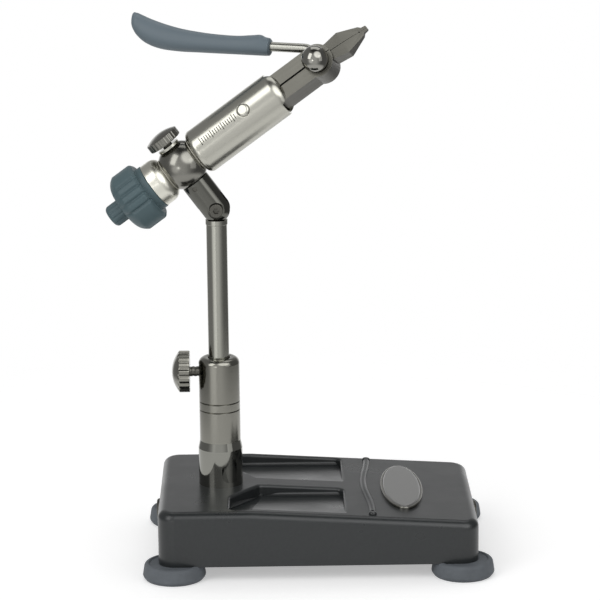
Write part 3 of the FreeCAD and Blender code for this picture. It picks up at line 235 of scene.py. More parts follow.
def edge_broken(node, name, width, moved, angle=25.0):
    """Copy of one of the frame's nodes: a function moves its points, its triangles are merged into
    flat faces, and each edge that turns by more than the angle is broken by a flat of the given width
    in millimetres."""
    points, corners = triangles(frame["nodes"][node].data)
    mesh = bpy.data.meshes.new(name)
    mesh.from_pydata(moved(points).tolist(), [], corners.tolist())
    shape = bmesh.new()
    shape.from_mesh(mesh)
    bmesh.ops.remove_doubles(shape, verts=shape.verts, dist=0.001 * MM)
    bmesh.ops.dissolve_limit(shape, angle_limit=math.radians(0.3), verts=shape.verts, edges=shape.edges)
    sharp = [e for e in shape.edges if e.is_manifold and e.calc_face_angle() > math.radians(angle)]
    bmesh.ops.bevel(shape, geom=sharp, offset=width * MM, offset_type="WIDTH", segments=1, profile=0.5,
                    affect="EDGES", clamp_overlap=True)
    shape.to_mesh(mesh)
    shape.free()
    return new_piece(name, mesh, crease=12.0)


def finish_nodes(material, *names):
    """Puts a finish on nodes of the frame."""
    for name in names:
        node = frame["nodes"][name]
        if not node.material_slots:
            node.data.materials.append(material)
        for place in node.material_slots:
            place.material = material


# Materials


def add(tree, kind, inputs=None, **settings):
    """Adds a node, sets its properties, and sets or links its inputs."""
    node = tree.nodes.new(kind)
    for name, value in settings.items():
        setattr(node, name, value)
    for key, value in (inputs or {}).items():
        if isinstance(value, bpy.types.NodeSocket):
            tree.links.new(value, node.inputs[key])
        else:
            node.inputs[key].default_value = value
    return node


def new_finish(name, colour, roughness, metallic=0.0, coat=0.0):
    """Material with one shader, which patterns are then laid on."""
    material = bpy.data.materials.new(name)
    material.use_nodes = True
    tree = material.node_tree
    tree.nodes.clear()
    shader = add(tree, "ShaderNodeBsdfPrincipled", {
        "Base Color": rgba(colour), "Roughness": roughness, "Metallic": metallic, "Coat Weight": coat,
    }, name="shader")
    add(tree, "ShaderNodeOutputMaterial", {"Surface": shader.outputs["BSDF"]})
    return material


def pattern(material, size, detail=2.0, harshness=0.5, turn=(0.0, 0.0, 0.0), stretch=(1.0, 1.0, 1.0),
            dull=None, tint=None, relief=None):
    """Lays noise on a finish, with blotches about size metres across, detail finer layers in it, and
    harshness as their strength. It reads Object coordinates, turned back by the angles given and then
    stretched along the new axes. Where they are given, the roughness runs between the two values of
    dull and the colour between the two shades of tint, and relief is a depth in metres and a
    strength, laid over the relief that is already there."""
    tree = material.node_tree
    shader = tree.nodes["shader"]
    turned = add(tree, "ShaderNodeMapping", {
        "Vector": add(tree, "ShaderNodeTexCoord").outputs["Object"], "Rotation": turn,
    }, vector_type="TEXTURE")
    stretched = add(tree, "ShaderNodeMapping", {"Vector": turned.outputs["Vector"], "Scale": stretch})
    noise = add(tree, "ShaderNodeTexNoise", {
        "Vector": stretched.outputs["Vector"], "Scale": 0.5 / size, "Detail": detail, "Roughness": harshness,
    }).outputs["Fac"]
    # Most of the noise lies between these two values.
    reading = {"Value": noise, "From Min": 0.3, "From Max": 0.7}
    if dull:
        rough = add(tree, "ShaderNodeMapRange", {**reading, "To Min": dull[0], "To Max": dull[1]})
        tree.links.new(rough.outputs["Result"], shader.inputs["Roughness"])
    if tint:
        share = add(tree, "ShaderNodeMapRange", {**reading, "To Min": 0.0, "To Max": 1.0})
        mixed = add(tree, "ShaderNodeMix", {"Factor": share.outputs["Result"]}, data_type="RGBA")
        colour = shader.inputs["Base Color"].default_value[:3]
        ends = [socket for socket in mixed.inputs if socket.type == "RGBA"]
        for socket, factor in zip(ends, tint):
            socket.default_value = rgba(shade(colour, factor))
        result = next(socket for socket in mixed.outputs if socket.type == "RGBA")
        tree.links.new(result, shader.inputs["Base Color"])
    if relief:
        depth, strength = relief
        inputs = {"Height": noise, "Distance": depth, "Strength": strength}
        for link in shader.inputs["Normal"].links:
            inputs["Normal"] = link.from_socket
        normal = add(tree, "ShaderNodeBump", inputs).outputs["Normal"]
        tree.links.new(normal, shader.inputs["Normal"])


def shade(colour, factor):
    """Colour made darker or lighter by a factor."""
    return tuple(min(1.0, c * factor) for c in colour)


# Turns that lay a pattern's first axis along the head and up the post.
HEAD_TURN = tuple(Matrix([HEAD_U, HEAD_V, HEAD_N]).transposed().to_euler())
POST_TURN = (0.0, -math.pi / 2, 0.0)

# Stretch that draws noise out into lines round the first axis.
LATHE_LINES = (1.0, 0.02, 0.02)


def powder_coat(colour):
    """Powder coat on cast iron: a dark grey skin with the fine orange peel of baked powder, and
    slow hollows of the casting beneath it. Its half shine lights up the edges and the trays' rims."""
    material = new_finish("powder_coat_on_cast_iron", colour, 0.3)
    pattern(material, 0.7 * MM, 3.0, 0.6, tint=(0.92, 1.08), relief=(0.04 * MM, 0.6))
    pattern(material, 9.0 * MM, dull=(0.27, 0.34), relief=(0.12 * MM, 0.5))
    return material


def moulded_rubber(colour):
    """Moulded rubber: matt, with a faint bloom that lightens it in blotches. Its real grain is finer
    than a tenth of a millimetre, and is drawn coarser to show."""
    material = new_finish("moulded_rubber", colour, 0.72)
    pattern(material, 6.0 * MM, 4.0, 0.6, tint=(0.85, 1.15))
    pattern(material, 0.4 * MM, relief=(0.03 * MM, 0.5))
    return material


def turned_steel(name, colour, dull, turn, depth=0.0015 * MM):
    """Turned and polished steel: clear reflections, drawn out a little by the hair-fine rings that
    the lathe left round the piece. Real rings are a few hundredths of a millimetre apart, and these
    are drawn coarser to show."""
    material = new_finish(name, colour, dull[0], metallic=1.0)
    pattern(material, 0.12 * MM, 2.0, 0.6, turn, LATHE_LINES, relief=(depth, 1.0))
    pattern(material, 8.0 * MM, 3.0, dull=dull)
    return material


def satin_nickel(name, colour, dull):
    """Satin nickel plate on turned steel: a soft bright sheen, with fine turning lines round the
    head's axis, drawn coarser than the real ones to show."""
    material = new_finish(name, colour, dull[0], metallic=1.0)
    pattern(material, 0.18 * MM, 2.0, 0.6, HEAD_TURN, LATHE_LINES, relief=(0.004 * MM, 0.8))
    pattern(material, 12.0 * MM, 3.0, dull=dull)
    return material


def bright_nickel(name, colour, dull):
    """Nickel plate on polished steel: nearly a mirror, with a few faint wipe marks that dull it."""
    material = new_finish(name, colour, dull[0], metallic=1.0)
    pattern(material, 4.0 * MM, 4.0, turn=HEAD_TURN, stretch=(1.0, 0.25, 1.0), dull=dull)
    return material


def ground_tool_steel(colour):
    """Hardened tool steel, surface ground: a dull even grey, with straight grinding lines along the
    arms, drawn coarser than the real ones to show, and faintly darker patches."""
    material = new_finish("ground_tool_steel", colour, 0.36, metallic=1.0)
    pattern(material, 0.22 * MM, turn=HEAD_TURN, stretch=(0.01, 1.0, 0.12), dull=(0.32, 0.42),
            relief=(0.002 * MM, 0.6))
    pattern(material, 10.0 * MM, 3.0, tint=(0.9, 1.08))
    return material


def black_oxide(name, colour):
    """Black oxide on steel: dark, oily and slightly uneven."""
    material = new_finish(name, colour, 0.4, metallic=1.0)
    pattern(material, 2.0 * MM, 3.0, dull=(0.3, 0.5))
    return material


def moulded_plastic(name, colour):
    """Moulded plastic with a fine spark-eroded tooth that breaks its shine, drawn coarser than the
    real one to show: an even blue-grey with slow changes where the plastic flowed."""
    material = new_finish(name, colour, 0.5)
    pattern(material, 0.35 * MM, relief=(0.02 * MM, 0.5))
    pattern(material, 20.0 * MM, dull=(0.46, 0.56), tint=(0.95, 1.05))
    return material


def domed_resin(colour):
    """Clear resin domed over a grey plate: even and glossy, with a slight ripple."""
    material = new_finish("domed_resin_label", colour, 0.3, coat=0.5)
    pattern(material, 3.0 * MM, relief=(0.02 * MM, 0.4))
    return material


def turned_acetal(colour):
    """Turned acetal, used for bearings: pale and waxy, with fine turning marks."""
    material = new_finish("turned_acetal", colour, 0.45)
    pattern(material, 0.5 * MM, relief=(0.01 * MM, 0.5))
    return material


def turned_brass(colour):
    """Turned brass: warm metal, dulled a little by handling."""
    material = new_finish("turned_brass", colour, 0.35, metallic=1.0)
    pattern(material, 1.0 * MM, 3.0, dull=(0.25, 0.5))
    return material


# Settings


def length_setting(name, text, value):
    """Length, given in millimetres."""
    return bpy.props.FloatProperty(name=name, description=text, default=value * MM, min=0.0,
                                   unit="LENGTH", precision=4)


def angle_setting(name, text, value):
    """Angle, given in degrees."""
    return bpy.props.FloatProperty(name=name, description=text, default=math.radians(value), subtype="ANGLE")


def count_setting(name, text, value, low):
    """Whole number."""
    return bpy.props.IntProperty(name=name, description=text, default=value, min=low)


def colour_setting(name, text, code):
    """Colour, given as an sRGB hex value."""
    return bpy.props.FloatVectorProperty(name=name, description=text, default=linear(code), subtype="COLOR",
                                         min=0.0, max=1.0, size=3)


class FinishColours(bpy.types.PropertyGroup):
    paint: colour_setting("Pedestal paint", "Powder coat on the cast base and its rail", "#242728")
    rubber: colour_setting("Rubber", "Rubber of the feet", "#60656a")
    collar: colour_setting("Collar steel", "Mirror-bright collar at the post's foot", "#84847e")
    sleeve: colour_setting("Sleeve steel", "Sleeve of the post, and the clamp knob", "#83827b")
    rod: colour_setting("Rod steel", "Stem rod, lever rod and cam axle", "#9f9f97")
    nickel: colour_setting("Satin nickel", "Barrel, cup, head shaft and spindle", "#b3b2a9")
    bright: colour_setting("Bright nickel", "Bearing ball, brake knob and badge rim", "#7f7e78")
    ball: colour_setting("Ball steel", "Polished balls of the cam axle", "#8f8e88")
    link: colour_setting("Black nickel", "Tilt link", "#62625d")
    jaw: colour_setting("Tool steel", "Jaw arms, closing cone and spring", "#63625c")
    oxide: colour_setting("Black oxide", "Screws, plugs and graduations", "#5a5954")
    wheel: colour_setting("Wheel plastic", "Hand wheel and adjuster knob", "#4b5f64")
    grip: colour_setting("Grip plastic", "Lever grip", "#66737b")
    badge: colour_setting("Badge", "Resin-domed face of the badge", "#646462")
    acetal: colour_setting("Acetal", "Liner of the post and bushes of the ball", "#c9c6ba")
    brass: colour_setting("Brass", "Pads of the clamp and the brake", "#b08d4a")


class GripSettings(bpy.types.PropertyGroup):
    fullness: bpy.props.FloatProperty(name="Fullness", default=2.3, min=1.5, max=4.0,
                                      description="Squareness of the grip's section: 2 is an ellipse")


class WheelSettings(bpy.types.PropertyGroup):
    lobes: count_setting("Lobes", "Number of wide lobes round the wheel", 3, 2)
    grooves: count_setting("Grooves", "Grooves in each finger rest", 4, 1)
    spacing: angle_setting("Groove spacing", "Angle between grooves", 17.8)
    turn: angle_setting("Turn", "Turn of the first finger rest from the near side", 8.5)
    depth: length_setting("Groove depth", "Depth of each groove", 0.9)
    width: length_setting("Groove width", "Half width of each groove", 1.3)


class KnobSettings(bpy.types.PropertyGroup):
    clamp_flutes: count_setting("Clamp flutes", "Flutes round the clamp knob", 16, 4)
    brake_flutes: count_setting("Brake flutes", "Flutes round the brake knob", 24, 4)
    adjuster_ribs: count_setting("Adjuster ribs", "Ribs round the adjuster knob", 12, 4)
    pitch: length_setting("Thread pitch", "Pitch of the clamp and brake threads", 0.8)
    thread: length_setting("Thread depth", "Depth of the clamp and brake threads", 0.35)


class ScaleSettings(bpy.types.PropertyGroup):
    # The marks are wider and a little farther apart than real ones, to show.
    marks: count_setting("Marks", "Number of graduations on the barrel", 17, 2)
    first: length_setting("First mark", "First graduation, from the ball's centre", 14.8)
    spacing: length_setting("Spacing", "Distance between graduations", 1.25)
    short: length_setting("Short mark", "Length of a plain graduation", 2.6)
    long: length_setting("Long mark", "Length of every fifth graduation", 4.0)
    line: length_setting("Line width", "Width of a graduation", 0.4)


class StageSettings(bpy.types.PropertyGroup):
    lens: bpy.props.FloatProperty(name="Lens", description="Focal length on a 36 mm sensor, in millimetres",
                                  default=162.1, min=10.0)
    eye: bpy.props.FloatVectorProperty(name="Camera place", description="Where the camera stands", size=3,
                                       subtype="TRANSLATION", unit="LENGTH",
                                       default=(POST_X + 0.0246, -1.2554, 0.4331))
    yaw: angle_setting("Yaw", "Turn of the view to the right", 0.67)
    pitch: angle_setting("Pitch", "Downward tilt of the view", 13.83)
    roll: angle_setting("Roll", "Roll of the camera", -0.59)
    floor: length_setting("Floor", "Side of the square floor", 900.0)
    level: bpy.props.FloatProperty(name="Room light", description="Strength of the even room light",
                                   default=0.55)


finishes = {}


def finish(name):
    """Finish by name, made once from the scene's colours."""
    if name not in finishes:
        hue = bpy.context.scene.vise_colours
        mirror_rings = 0.0006 * MM
        faint_rings = 0.0004 * MM
        makers = {
            "paint": lambda: powder_coat(hue.paint[:]),
            "rubber": lambda: moulded_rubber(hue.rubber[:]),
            "collar": lambda: turned_steel("mirror_turned_steel", hue.collar[:], (0.05, 0.08), POST_TURN,
                                           mirror_rings),
            "sleeve": lambda: turned_steel("satin_turned_steel", hue.sleeve[:], (0.14, 0.2), POST_TURN),
            "stem": lambda: turned_steel("ground_steel_rod", hue.rod[:], (0.13, 0.18), POST_TURN),
            "rod": lambda: turned_steel("satin_steel_rod", hue.rod[:], (0.24, 0.32), HEAD_TURN, faint_rings),
            "nickel": lambda: satin_nickel("satin_nickel_on_the_barrel", hue.nickel[:], (0.21, 0.28)),
            # The cup's nickel is made half again as light as the barrel's: a painted highlight, the cup drawn
            # as lit brighter than the barrel.
            "cup": lambda: satin_nickel("satin_nickel_lightened_as_painted_highlight", shade(hue.nickel[:], 1.5), (0.26, 0.34)),
            "bright": lambda: bright_nickel("bright_nickel", hue.bright[:], (0.14, 0.22)),
            "mirror": lambda: bright_nickel("polished_ball_steel", hue.ball[:], (0.05, 0.09)),
            "link": lambda: bright_nickel("black_nickel", hue.link[:], (0.08, 0.14)),
            "jaw": lambda: ground_tool_steel(hue.jaw[:]),
            "oxide": lambda: black_oxide("black_oxide_on_steel", hue.oxide[:]),
            "ink": lambda: black_oxide("blackened_graduations", shade(hue.oxide[:], 0.35)),
            "wheel": lambda: moulded_plastic("moulded_wheel_plastic", hue.wheel[:]),
            "grip": lambda: moulded_plastic("soft_touch_grip", hue.grip[:]),
            "badge": lambda: domed_resin(hue.badge[:]),
            "acetal": lambda: turned_acetal(hue.acetal[:]),
            "brass": lambda: turned_brass(hue.brass[:]),
        }
        finishes[name] = makers[name]()
    return finishes[name]


# Operators


class VISE_OT_pedestal(bpy.types.Operator):
    """Finishes the cast base, its feet, badge, rail, plugs and the post's bolt"""
    bl_idname = "vise.pedestal"
    bl_label = "Pedestal"

    def execute(self, context):
        feet = [f"foot_{end}_{side}" for end in ("front", "rear") for side in ("left", "right")]
        finish_nodes(finish("paint"), "base_casting", "hook_rail", "rail_pins")
        finish_nodes(finish("rubber"), *feet)
        finish_nodes(finish("oxide"), "foot_screws", "end_plug_left", "end_plug_right", "post_bolt")
        finish_nodes(finish("bright"), "badge_rim")
        finish_nodes(finish("sleeve"), "post_washer")
        finish_nodes(finish("badge"), "badge_face")
        return {"FINISHED"}


class VISE_OT_post(bpy.types.Operator):
    """Finishes the collar, sleeve, liner, stem and knuckle"""
    bl_idname = "vise.post"
    bl_label = "Post"

    def execute(self, context):
        finish_nodes(finish("collar"), "post_collar")
        finish_nodes(finish("sleeve"), "post_sleeve")
        finish_nodes(finish("stem"), "stem_rod", "stem_knuckle")
        finish_nodes(finish("acetal"), "stem_liner")
        return {"FINISHED"}


def grooves(angles, half_width, depth, rim, reach):
    """Depth of round-bottomed grooves along a knob's rim: each is the cosine hump of the distance
    round the rim from its middle line, and all fade out below reach times the rim's radius."""
    def cut(along, angle, radius):
        gap = (angle[..., None] - angles + np.pi) % (2 * np.pi) - np.pi
        across = np.clip(np.abs(gap) * rim / half_width, 0, 1)
        hump = (0.5 + 0.5 * np.cos(np.pi * across)).max(axis=-1)
        fade = np.clip((radius / rim - reach) / (1 - reach), 0, 1)
        return depth * hump * fade
    return cut


def arc(along, radius, size, start, end, steps=14):
    """Corners on a circle of the given size about (along, radius). Angles are in degrees: nought
    points out from the axis and 90 points forwards along it."""
    turn = np.radians(np.linspace(start, end, steps))
    return [(a, r, 0) for a, r in zip(along + size * np.sin(turn), radius + size * np.cos(turn))]


def cap(foot, radius, tip):
    """Corners of a spherical cap from (foot, radius) to (tip, 0). The sphere's radius is
    (radius^2 + rise^2) / (2 rise)."""
    rise = tip - foot
    ball = (radius ** 2 + rise ** 2) / (2 * rise)
    return arc(tip - ball, 0.0, ball, 90.0 - math.degrees(math.asin(radius / ball)), 90.0)


def thread(pitch, depth, radius, low, high):
    """Depth of a screw thread: a triangle wave of the distance along the axis less the turn's share
    of the pitch, so its crest climbs one pitch each turn. It's cut from low to high, into the shank's
    side and not into its ends."""
    def cut(along, angle, outline):
        phase = (along / pitch - angle / (2 * np.pi)) % 1.0
        wave = np.abs(2 * phase - 1)
        inside = (along > low) & (along < high) & (outline > radius * 0.9)
        return np.where(inside, depth * wave, 0.0)
    return cut


def even(count):
    """Angles that are evenly spread round a circle."""
    return np.arange(count) * 2 * np.pi / count


# Radius of the clamp's and the brake's shanks, in millimetres.
SHANK = 2.5


def thumb_knob(name, place, heights, rim, flutes, columns, edge=0.5):
    """Fluted disc with a rounded lower edge and a domed top. Its heights along the frame's first axis
    are those of its bore's bottom, its lower face, the dome's foot and the dome's top."""
    bore, face, foot, top = heights
    return turned_piece(name, place, [
        (bore, 0.0, 0), (bore, SHANK, 0), (face, SHANK, 0), (face, rim, edge), *cap(foot, rim, top),
    ], columns, depth=flutes)


def thumb_screw(name, place, heights, knobs, chamfer=0.3):
    """Threaded shank with a chamfered tip. Its heights along the frame's first axis are those of its
    tip, the thread's start, the chamfer's end, the thread's end and its own end."""
    tip, start, full, stop, end = heights
    winding = thread(knobs.pitch / MM, knobs.thread / MM, SHANK, start, stop)
    return turned_piece(name, place, [
        (tip, 0.0, 0), (tip, SHANK - chamfer, 0), (full, SHANK, 0), (end, SHANK, 0), (end, 0.0, 0),
    ], columns=48, depth=winding, crease=60.0)


class VISE_OT_clamp(bpy.types.Operator):
    """Builds the post clamp's fluted knob and threaded screw"""
    bl_idname = "vise.clamp"
    bl_label = "Post clamp"

    def execute(self, context):
        knobs = context.scene.vise_knobs
        rim = 10.0
        flutes = grooves(even(knobs.clamp_flutes), half_width=1.6, depth=0.6, rim=rim, reach=0.88)
        knob = thumb_knob("clamp_knob_fluted", CLAMP, (16.5, 14.05, 19.05, 22.75), rim, flutes, 256)
        dress(knob, "clamp_screw", "dark_steel", finish("sleeve"), "clamp_knob")
        screw = thumb_screw("clamp_screw_threaded", CLAMP, (8.75, 8.9, 9.1, 14.2, 14.3), knobs)
        dress(screw, "clamp_screw", "dark_steel", finish("oxide"), "clamp_screw")
        finish_nodes(finish("brass"), "clamp_pad")
        return {"FINISHED"}


class VISE_OT_link(bpy.types.Operator):
    """Finishes the tilt link, its screws, the ball and its bushes"""
    bl_idname = "vise.link"
    bl_label = "Tilt link and ball"

    def execute(self, context):
        finish_nodes(finish("bright"), "bearing_ball")
        finish_nodes(finish("link"), "tilt_link")
        finish_nodes(finish("oxide"), "link_setscrew", "ball_stud", "pivot_screw")
        finish_nodes(finish("acetal"), "bearing_bush_front", "bearing_bush_rear")
        return {"FINISHED"}


class VISE_OT_brake(bpy.types.Operator):
    """Builds the head brake's knob and threaded screw"""
    bl_idname = "vise.brake"
    bl_label = "Head brake"

    def execute(self, context):
        knobs = context.scene.vise_knobs
        rim = 8.3
        flutes = grooves(even(knobs.brake_flutes), half_width=0.8, depth=0.18, rim=rim, reach=0.88)
        knob = thumb_knob("brake_knob_fluted", BRAKE, (14.9, 13.0, 16.8, 18.8), rim, flutes, 192)
        dress(knob, "brake_screw", "satin_steel", finish("bright"), "brake_knob")
        screw = thumb_screw("brake_screw_threaded", BRAKE, (7.1, 7.2, 7.4, 13.1, 13.2), knobs)
        dress(screw, "brake_screw", "dark_steel", finish("oxide"), "brake_screw")
        finish_nodes(finish("nickel"), "brake_collar")
        finish_nodes(finish("brass"), "brake_pad")
        return {"FINISHED"}


class VISE_OT_barrel(bpy.types.Operator):
    """Finishes the barrel and the head's shaft, and builds the rounded cup and the graduations"""
    bl_idname = "vise.barrel"
    bl_label = "Barrel"

    def execute(self, context):
        finish_nodes(finish("nickel"), "barrel", "head_shaft", "cross_pin")
        front, back, rim, bulge = -8.45, -16.8, 11.15, 5.0
        cup = turned_piece("rear_cup_rounded", HEAD, [
            (back, 0.0, 0), (back, rim, 0.3), *arc(back + 4.0, rim - bulge, bulge, 0.0, 60.4),
            (front, 0.0, 0),
        ], columns=144)
        dress(cup, "head", "satin_steel", finish("cup"), "rear_cup")
        marks = self.graduations(context.scene.vise_scale)
        dress(marks, "head", "dark_steel", finish("ink"))
        return {"FINISHED"}

    def graduations(self, scale, barrel=11.3, sink=0.06, proud=0.012):
        """Thin curved bars on the barrel: the point at step s of bar k lies at the barrel's radius,
        at an angle that runs over the bar's length divided by that radius."""
        count = scale.marks
        along = scale.first / MM + np.arange(count) * scale.spacing / MM
        span = np.where(np.arange(count) % 5 == 0, scale.long, scale.short) / MM
        steps = np.linspace(-0.5, 0.5, 9)
        angle = np.pi / 2 + span[:, None] * steps / barrel
        half = scale.line / MM / 2
        low, high = barrel - sink, barrel + proud
        sides = np.array([[-half, low], [-half, high], [half, high], [half, low]])
        points = np.empty((count, len(steps), 4, 3))
        points[..., 0] = along[:, None, None] + sides[:, 0]
        points[..., 1] = np.cos(angle)[..., None] * sides[:, 1]
        points[..., 2] = np.sin(angle)[..., None] * sides[:, 1]
        verts = in_frame(points.reshape(-1, 3), HEAD)
        index = np.arange(count * len(steps) * 4).reshape(count, len(steps), 4)
        ahead = np.roll(index, -1, axis=2)
        quads = np.stack([index[:, :-1], ahead[:, :-1], ahead[:, 1:], index[:, 1:]], axis=-1).reshape(-1, 4)
        caps = np.concatenate([index[:, 0, ::-1], index[:, -1]])
        mesh = bpy.data.meshes.new("graduations")
        mesh.from_pydata(verts.tolist(), [], quads.tolist() + caps.tolist())
        return new_piece("graduations", mesh, crease=30.0)


class VISE_OT_hand_wheel(bpy.types.Operator):
    """Builds the lobed hand wheel and the ribbed adjuster knob"""
    bl_idname = "vise.hand_wheel"
    bl_label = "Hand wheel"

    def execute(self, context):
        settings = context.scene.vise_wheel
        front, step, back = -16.85, -19.8, -34.95
        neck, shoulder, rim, dome = 11.4, 13.6, 15.1, 7.95
        places = np.arange(settings.grooves) - (settings.grooves - 1) / 2
        angles = (settings.turn + even(settings.lobes)[:, None] + places * settings.spacing).ravel()
        cut = grooves(np.pi / 2 + angles, settings.width / MM, settings.depth / MM, rim, reach=0.5)

        def rim_only(along, angle, radius):
            return np.where(along < step, cut(along, angle, radius), 0.0)

        wheel = turned_piece("hand_wheel_lobed", HEAD, [
            (front, 0.0, 0), (front, neck, 0.4), (step, neck, 0.4), (step, shoulder, 0), (-21.0, rim, 1.6),
            *arc(back + dome, 8.0, dome, -26.7, -90.0), (back, 0.0, 0),
        ], columns=360, depth=rim_only)
        dress(wheel, "head", "grey_wheel", finish("wheel"), "hand_wheel")
        end, rim = -42.75, 5.4
        count = context.scene.vise_knobs.adjuster_ribs
        ribs = grooves(even(count), half_width=0.8, depth=0.35, rim=rim, reach=0.7)
        knob = turned_piece("adjuster_knob_ribbed", HEAD, [
            (back, 0.0, 0), (back, rim, 0.3), (end, rim, 2.0), (end, 0.0, 0),
        ], columns=144, depth=ribs)
        dress(knob, "adjuster", "grey_wheel", finish("wheel"), "adjuster_knob")
        finish_nodes(finish("oxide"), "wheel_setscrew")
        finish_nodes(finish("nickel"), "adjuster_spindle")
        return {"FINISHED"}


class VISE_OT_jaws(bpy.types.Operator):
    """Builds the ground jaw arms and finishes the cam, closing cone and spring"""
    bl_idname = "vise.jaws"
    bl_label = "Jaws"

    def execute(self, context):
        for arm, way in (("upper_jaw", 1), ("lower_jaw", -1)):
            piece = edge_broken(arm, arm + "_ground", width=0.15, moved=self.parted(way))
            dress(piece, arm, "hardened_steel", finish("jaw"), arm)
        finish_nodes(finish("jaw"), "jaw_cone", "jaw_spring", "spring_seat")
        finish_nodes(finish("mirror"), "cam_ball_near", "cam_ball_far")
        finish_nodes(finish("rod"), "cam_axle")
        return {"FINISHED"}

    def parted(self, way, gap=0.16, reach=27.65, near=0.1):
        """Moves an arm's parting face in front of the cam away from the other arm: by the gap at the
        cam, and less towards the tip in a straight line, to nought at the reach. The face is every
        point that lies near the head's middle plane."""
        def moved(points):
            along, up, across = HEAD[1] @ (points - HEAD[0]).T / MM
            on_face = (np.abs(up) < near) & (along > CAM_U - near)
            up = up + np.where(on_face, way * gap * (CAM_U + reach - along) / reach, 0.0)
            return in_frame(np.stack([along, up, across], axis=-1), HEAD)
        return moved


class VISE_OT_lever(bpy.types.Operator):
    """Finishes the lever rod and builds the soft grip"""
    bl_idname = "vise.lever"
    bl_label = "Lever"

    # Grip stations: distance from the bend's corner, lowest and highest point beside the rod's axis,
    # and half width.
    stations = [
        (19.0, -3.35, 3.25, 3.4),
        (19.4, -4.05, 3.75, 4.0),
        (20.4, -4.3, 4.05, 4.3),
        (21.8, -4.4, 4.3, 4.5),
        (23.4, -4.4, 5.05, 4.8),
        (28.0, -4.4, 4.9, 5.0),
        (34.0, -4.4, 4.3, 4.9),
        (44.0, -4.45, 4.35, 4.9),
        (54.6, -4.45, 5.1, 5.2),
        (65.0, -4.4, 6.5, 5.8),
        (75.8, -3.2, 9.1, 6.5),
        (80.0, -1.9, 10.4, 6.7),
        (84.6, 0.8, 12.1, 6.6),
        (87.2, 3.5, 12.9, 5.8),
        (88.5, 5.9, 12.6, 4.0),
        (89.0, 8.0, 11.1, 1.6),
    ]

    def execute(self, context):
        finish_nodes(finish("rod"), "lever_rod")
        grip = self.grip(context.scene.vise_grip)
        dress(grip, "lever", "grip_rubber", finish("grip"), "lever_grip")
        return {"FINISHED"}

    def grip(self, settings, rise=9.3, lean=math.radians(139.5), rows=150, columns=72):
        """Sleeve round the rod's line, which starts at the bend's corner, above the cam by the rise,
        and leans back from the head's axis. At each distance along it the section is a superellipse
        between the lowest and highest line, |y/h|^p + |n/w|^p = 1."""
        knots, low, high, wide = np.array(self.stations).T
        t = np.linspace(0, 1, rows)
        along = knots[0] + (knots[-1] - knots[0]) * (0.5 - 0.5 * np.cos(np.pi * t))
        low = smooth_curve(along, knots, low)[:, None]
        high = smooth_curve(along, knots, high)[:, None]
        wide = smooth_curve(along, knots, wide)[:, None]
        angle = np.linspace(0, 2 * np.pi, columns, endpoint=False)[None, :]
        power = 2 / settings.fullness
        across = np.sign(np.cos(angle)) * np.abs(np.cos(angle)) ** power * wide
        up = np.sign(np.sin(angle)) * np.abs(np.sin(angle)) ** power * (high - low) / 2 + (high + low) / 2
        away = np.array([math.cos(lean), math.sin(lean)])
        side = np.array([away[1], -away[0]])
        along = along[:, None]
        corner = np.array([CAM_U, CAM_V + rise])
        points = np.empty(across.shape + (3,))
        points[..., 0] = corner[0] + away[0] * along + side[0] * up
        points[..., 1] = corner[1] + away[1] * along + side[1] * up
        points[..., 2] = across
        return ring_mesh("lever_grip_moulded", in_frame(points, HEAD), crease=50.0)


# Directions from the vise that the stage is laid out by.
RIGHT = (1.0, 0.0, 0.0)
BACK = (0.0, 1.0, 0.0)
UP = (0.0, 0.0, 1.0)


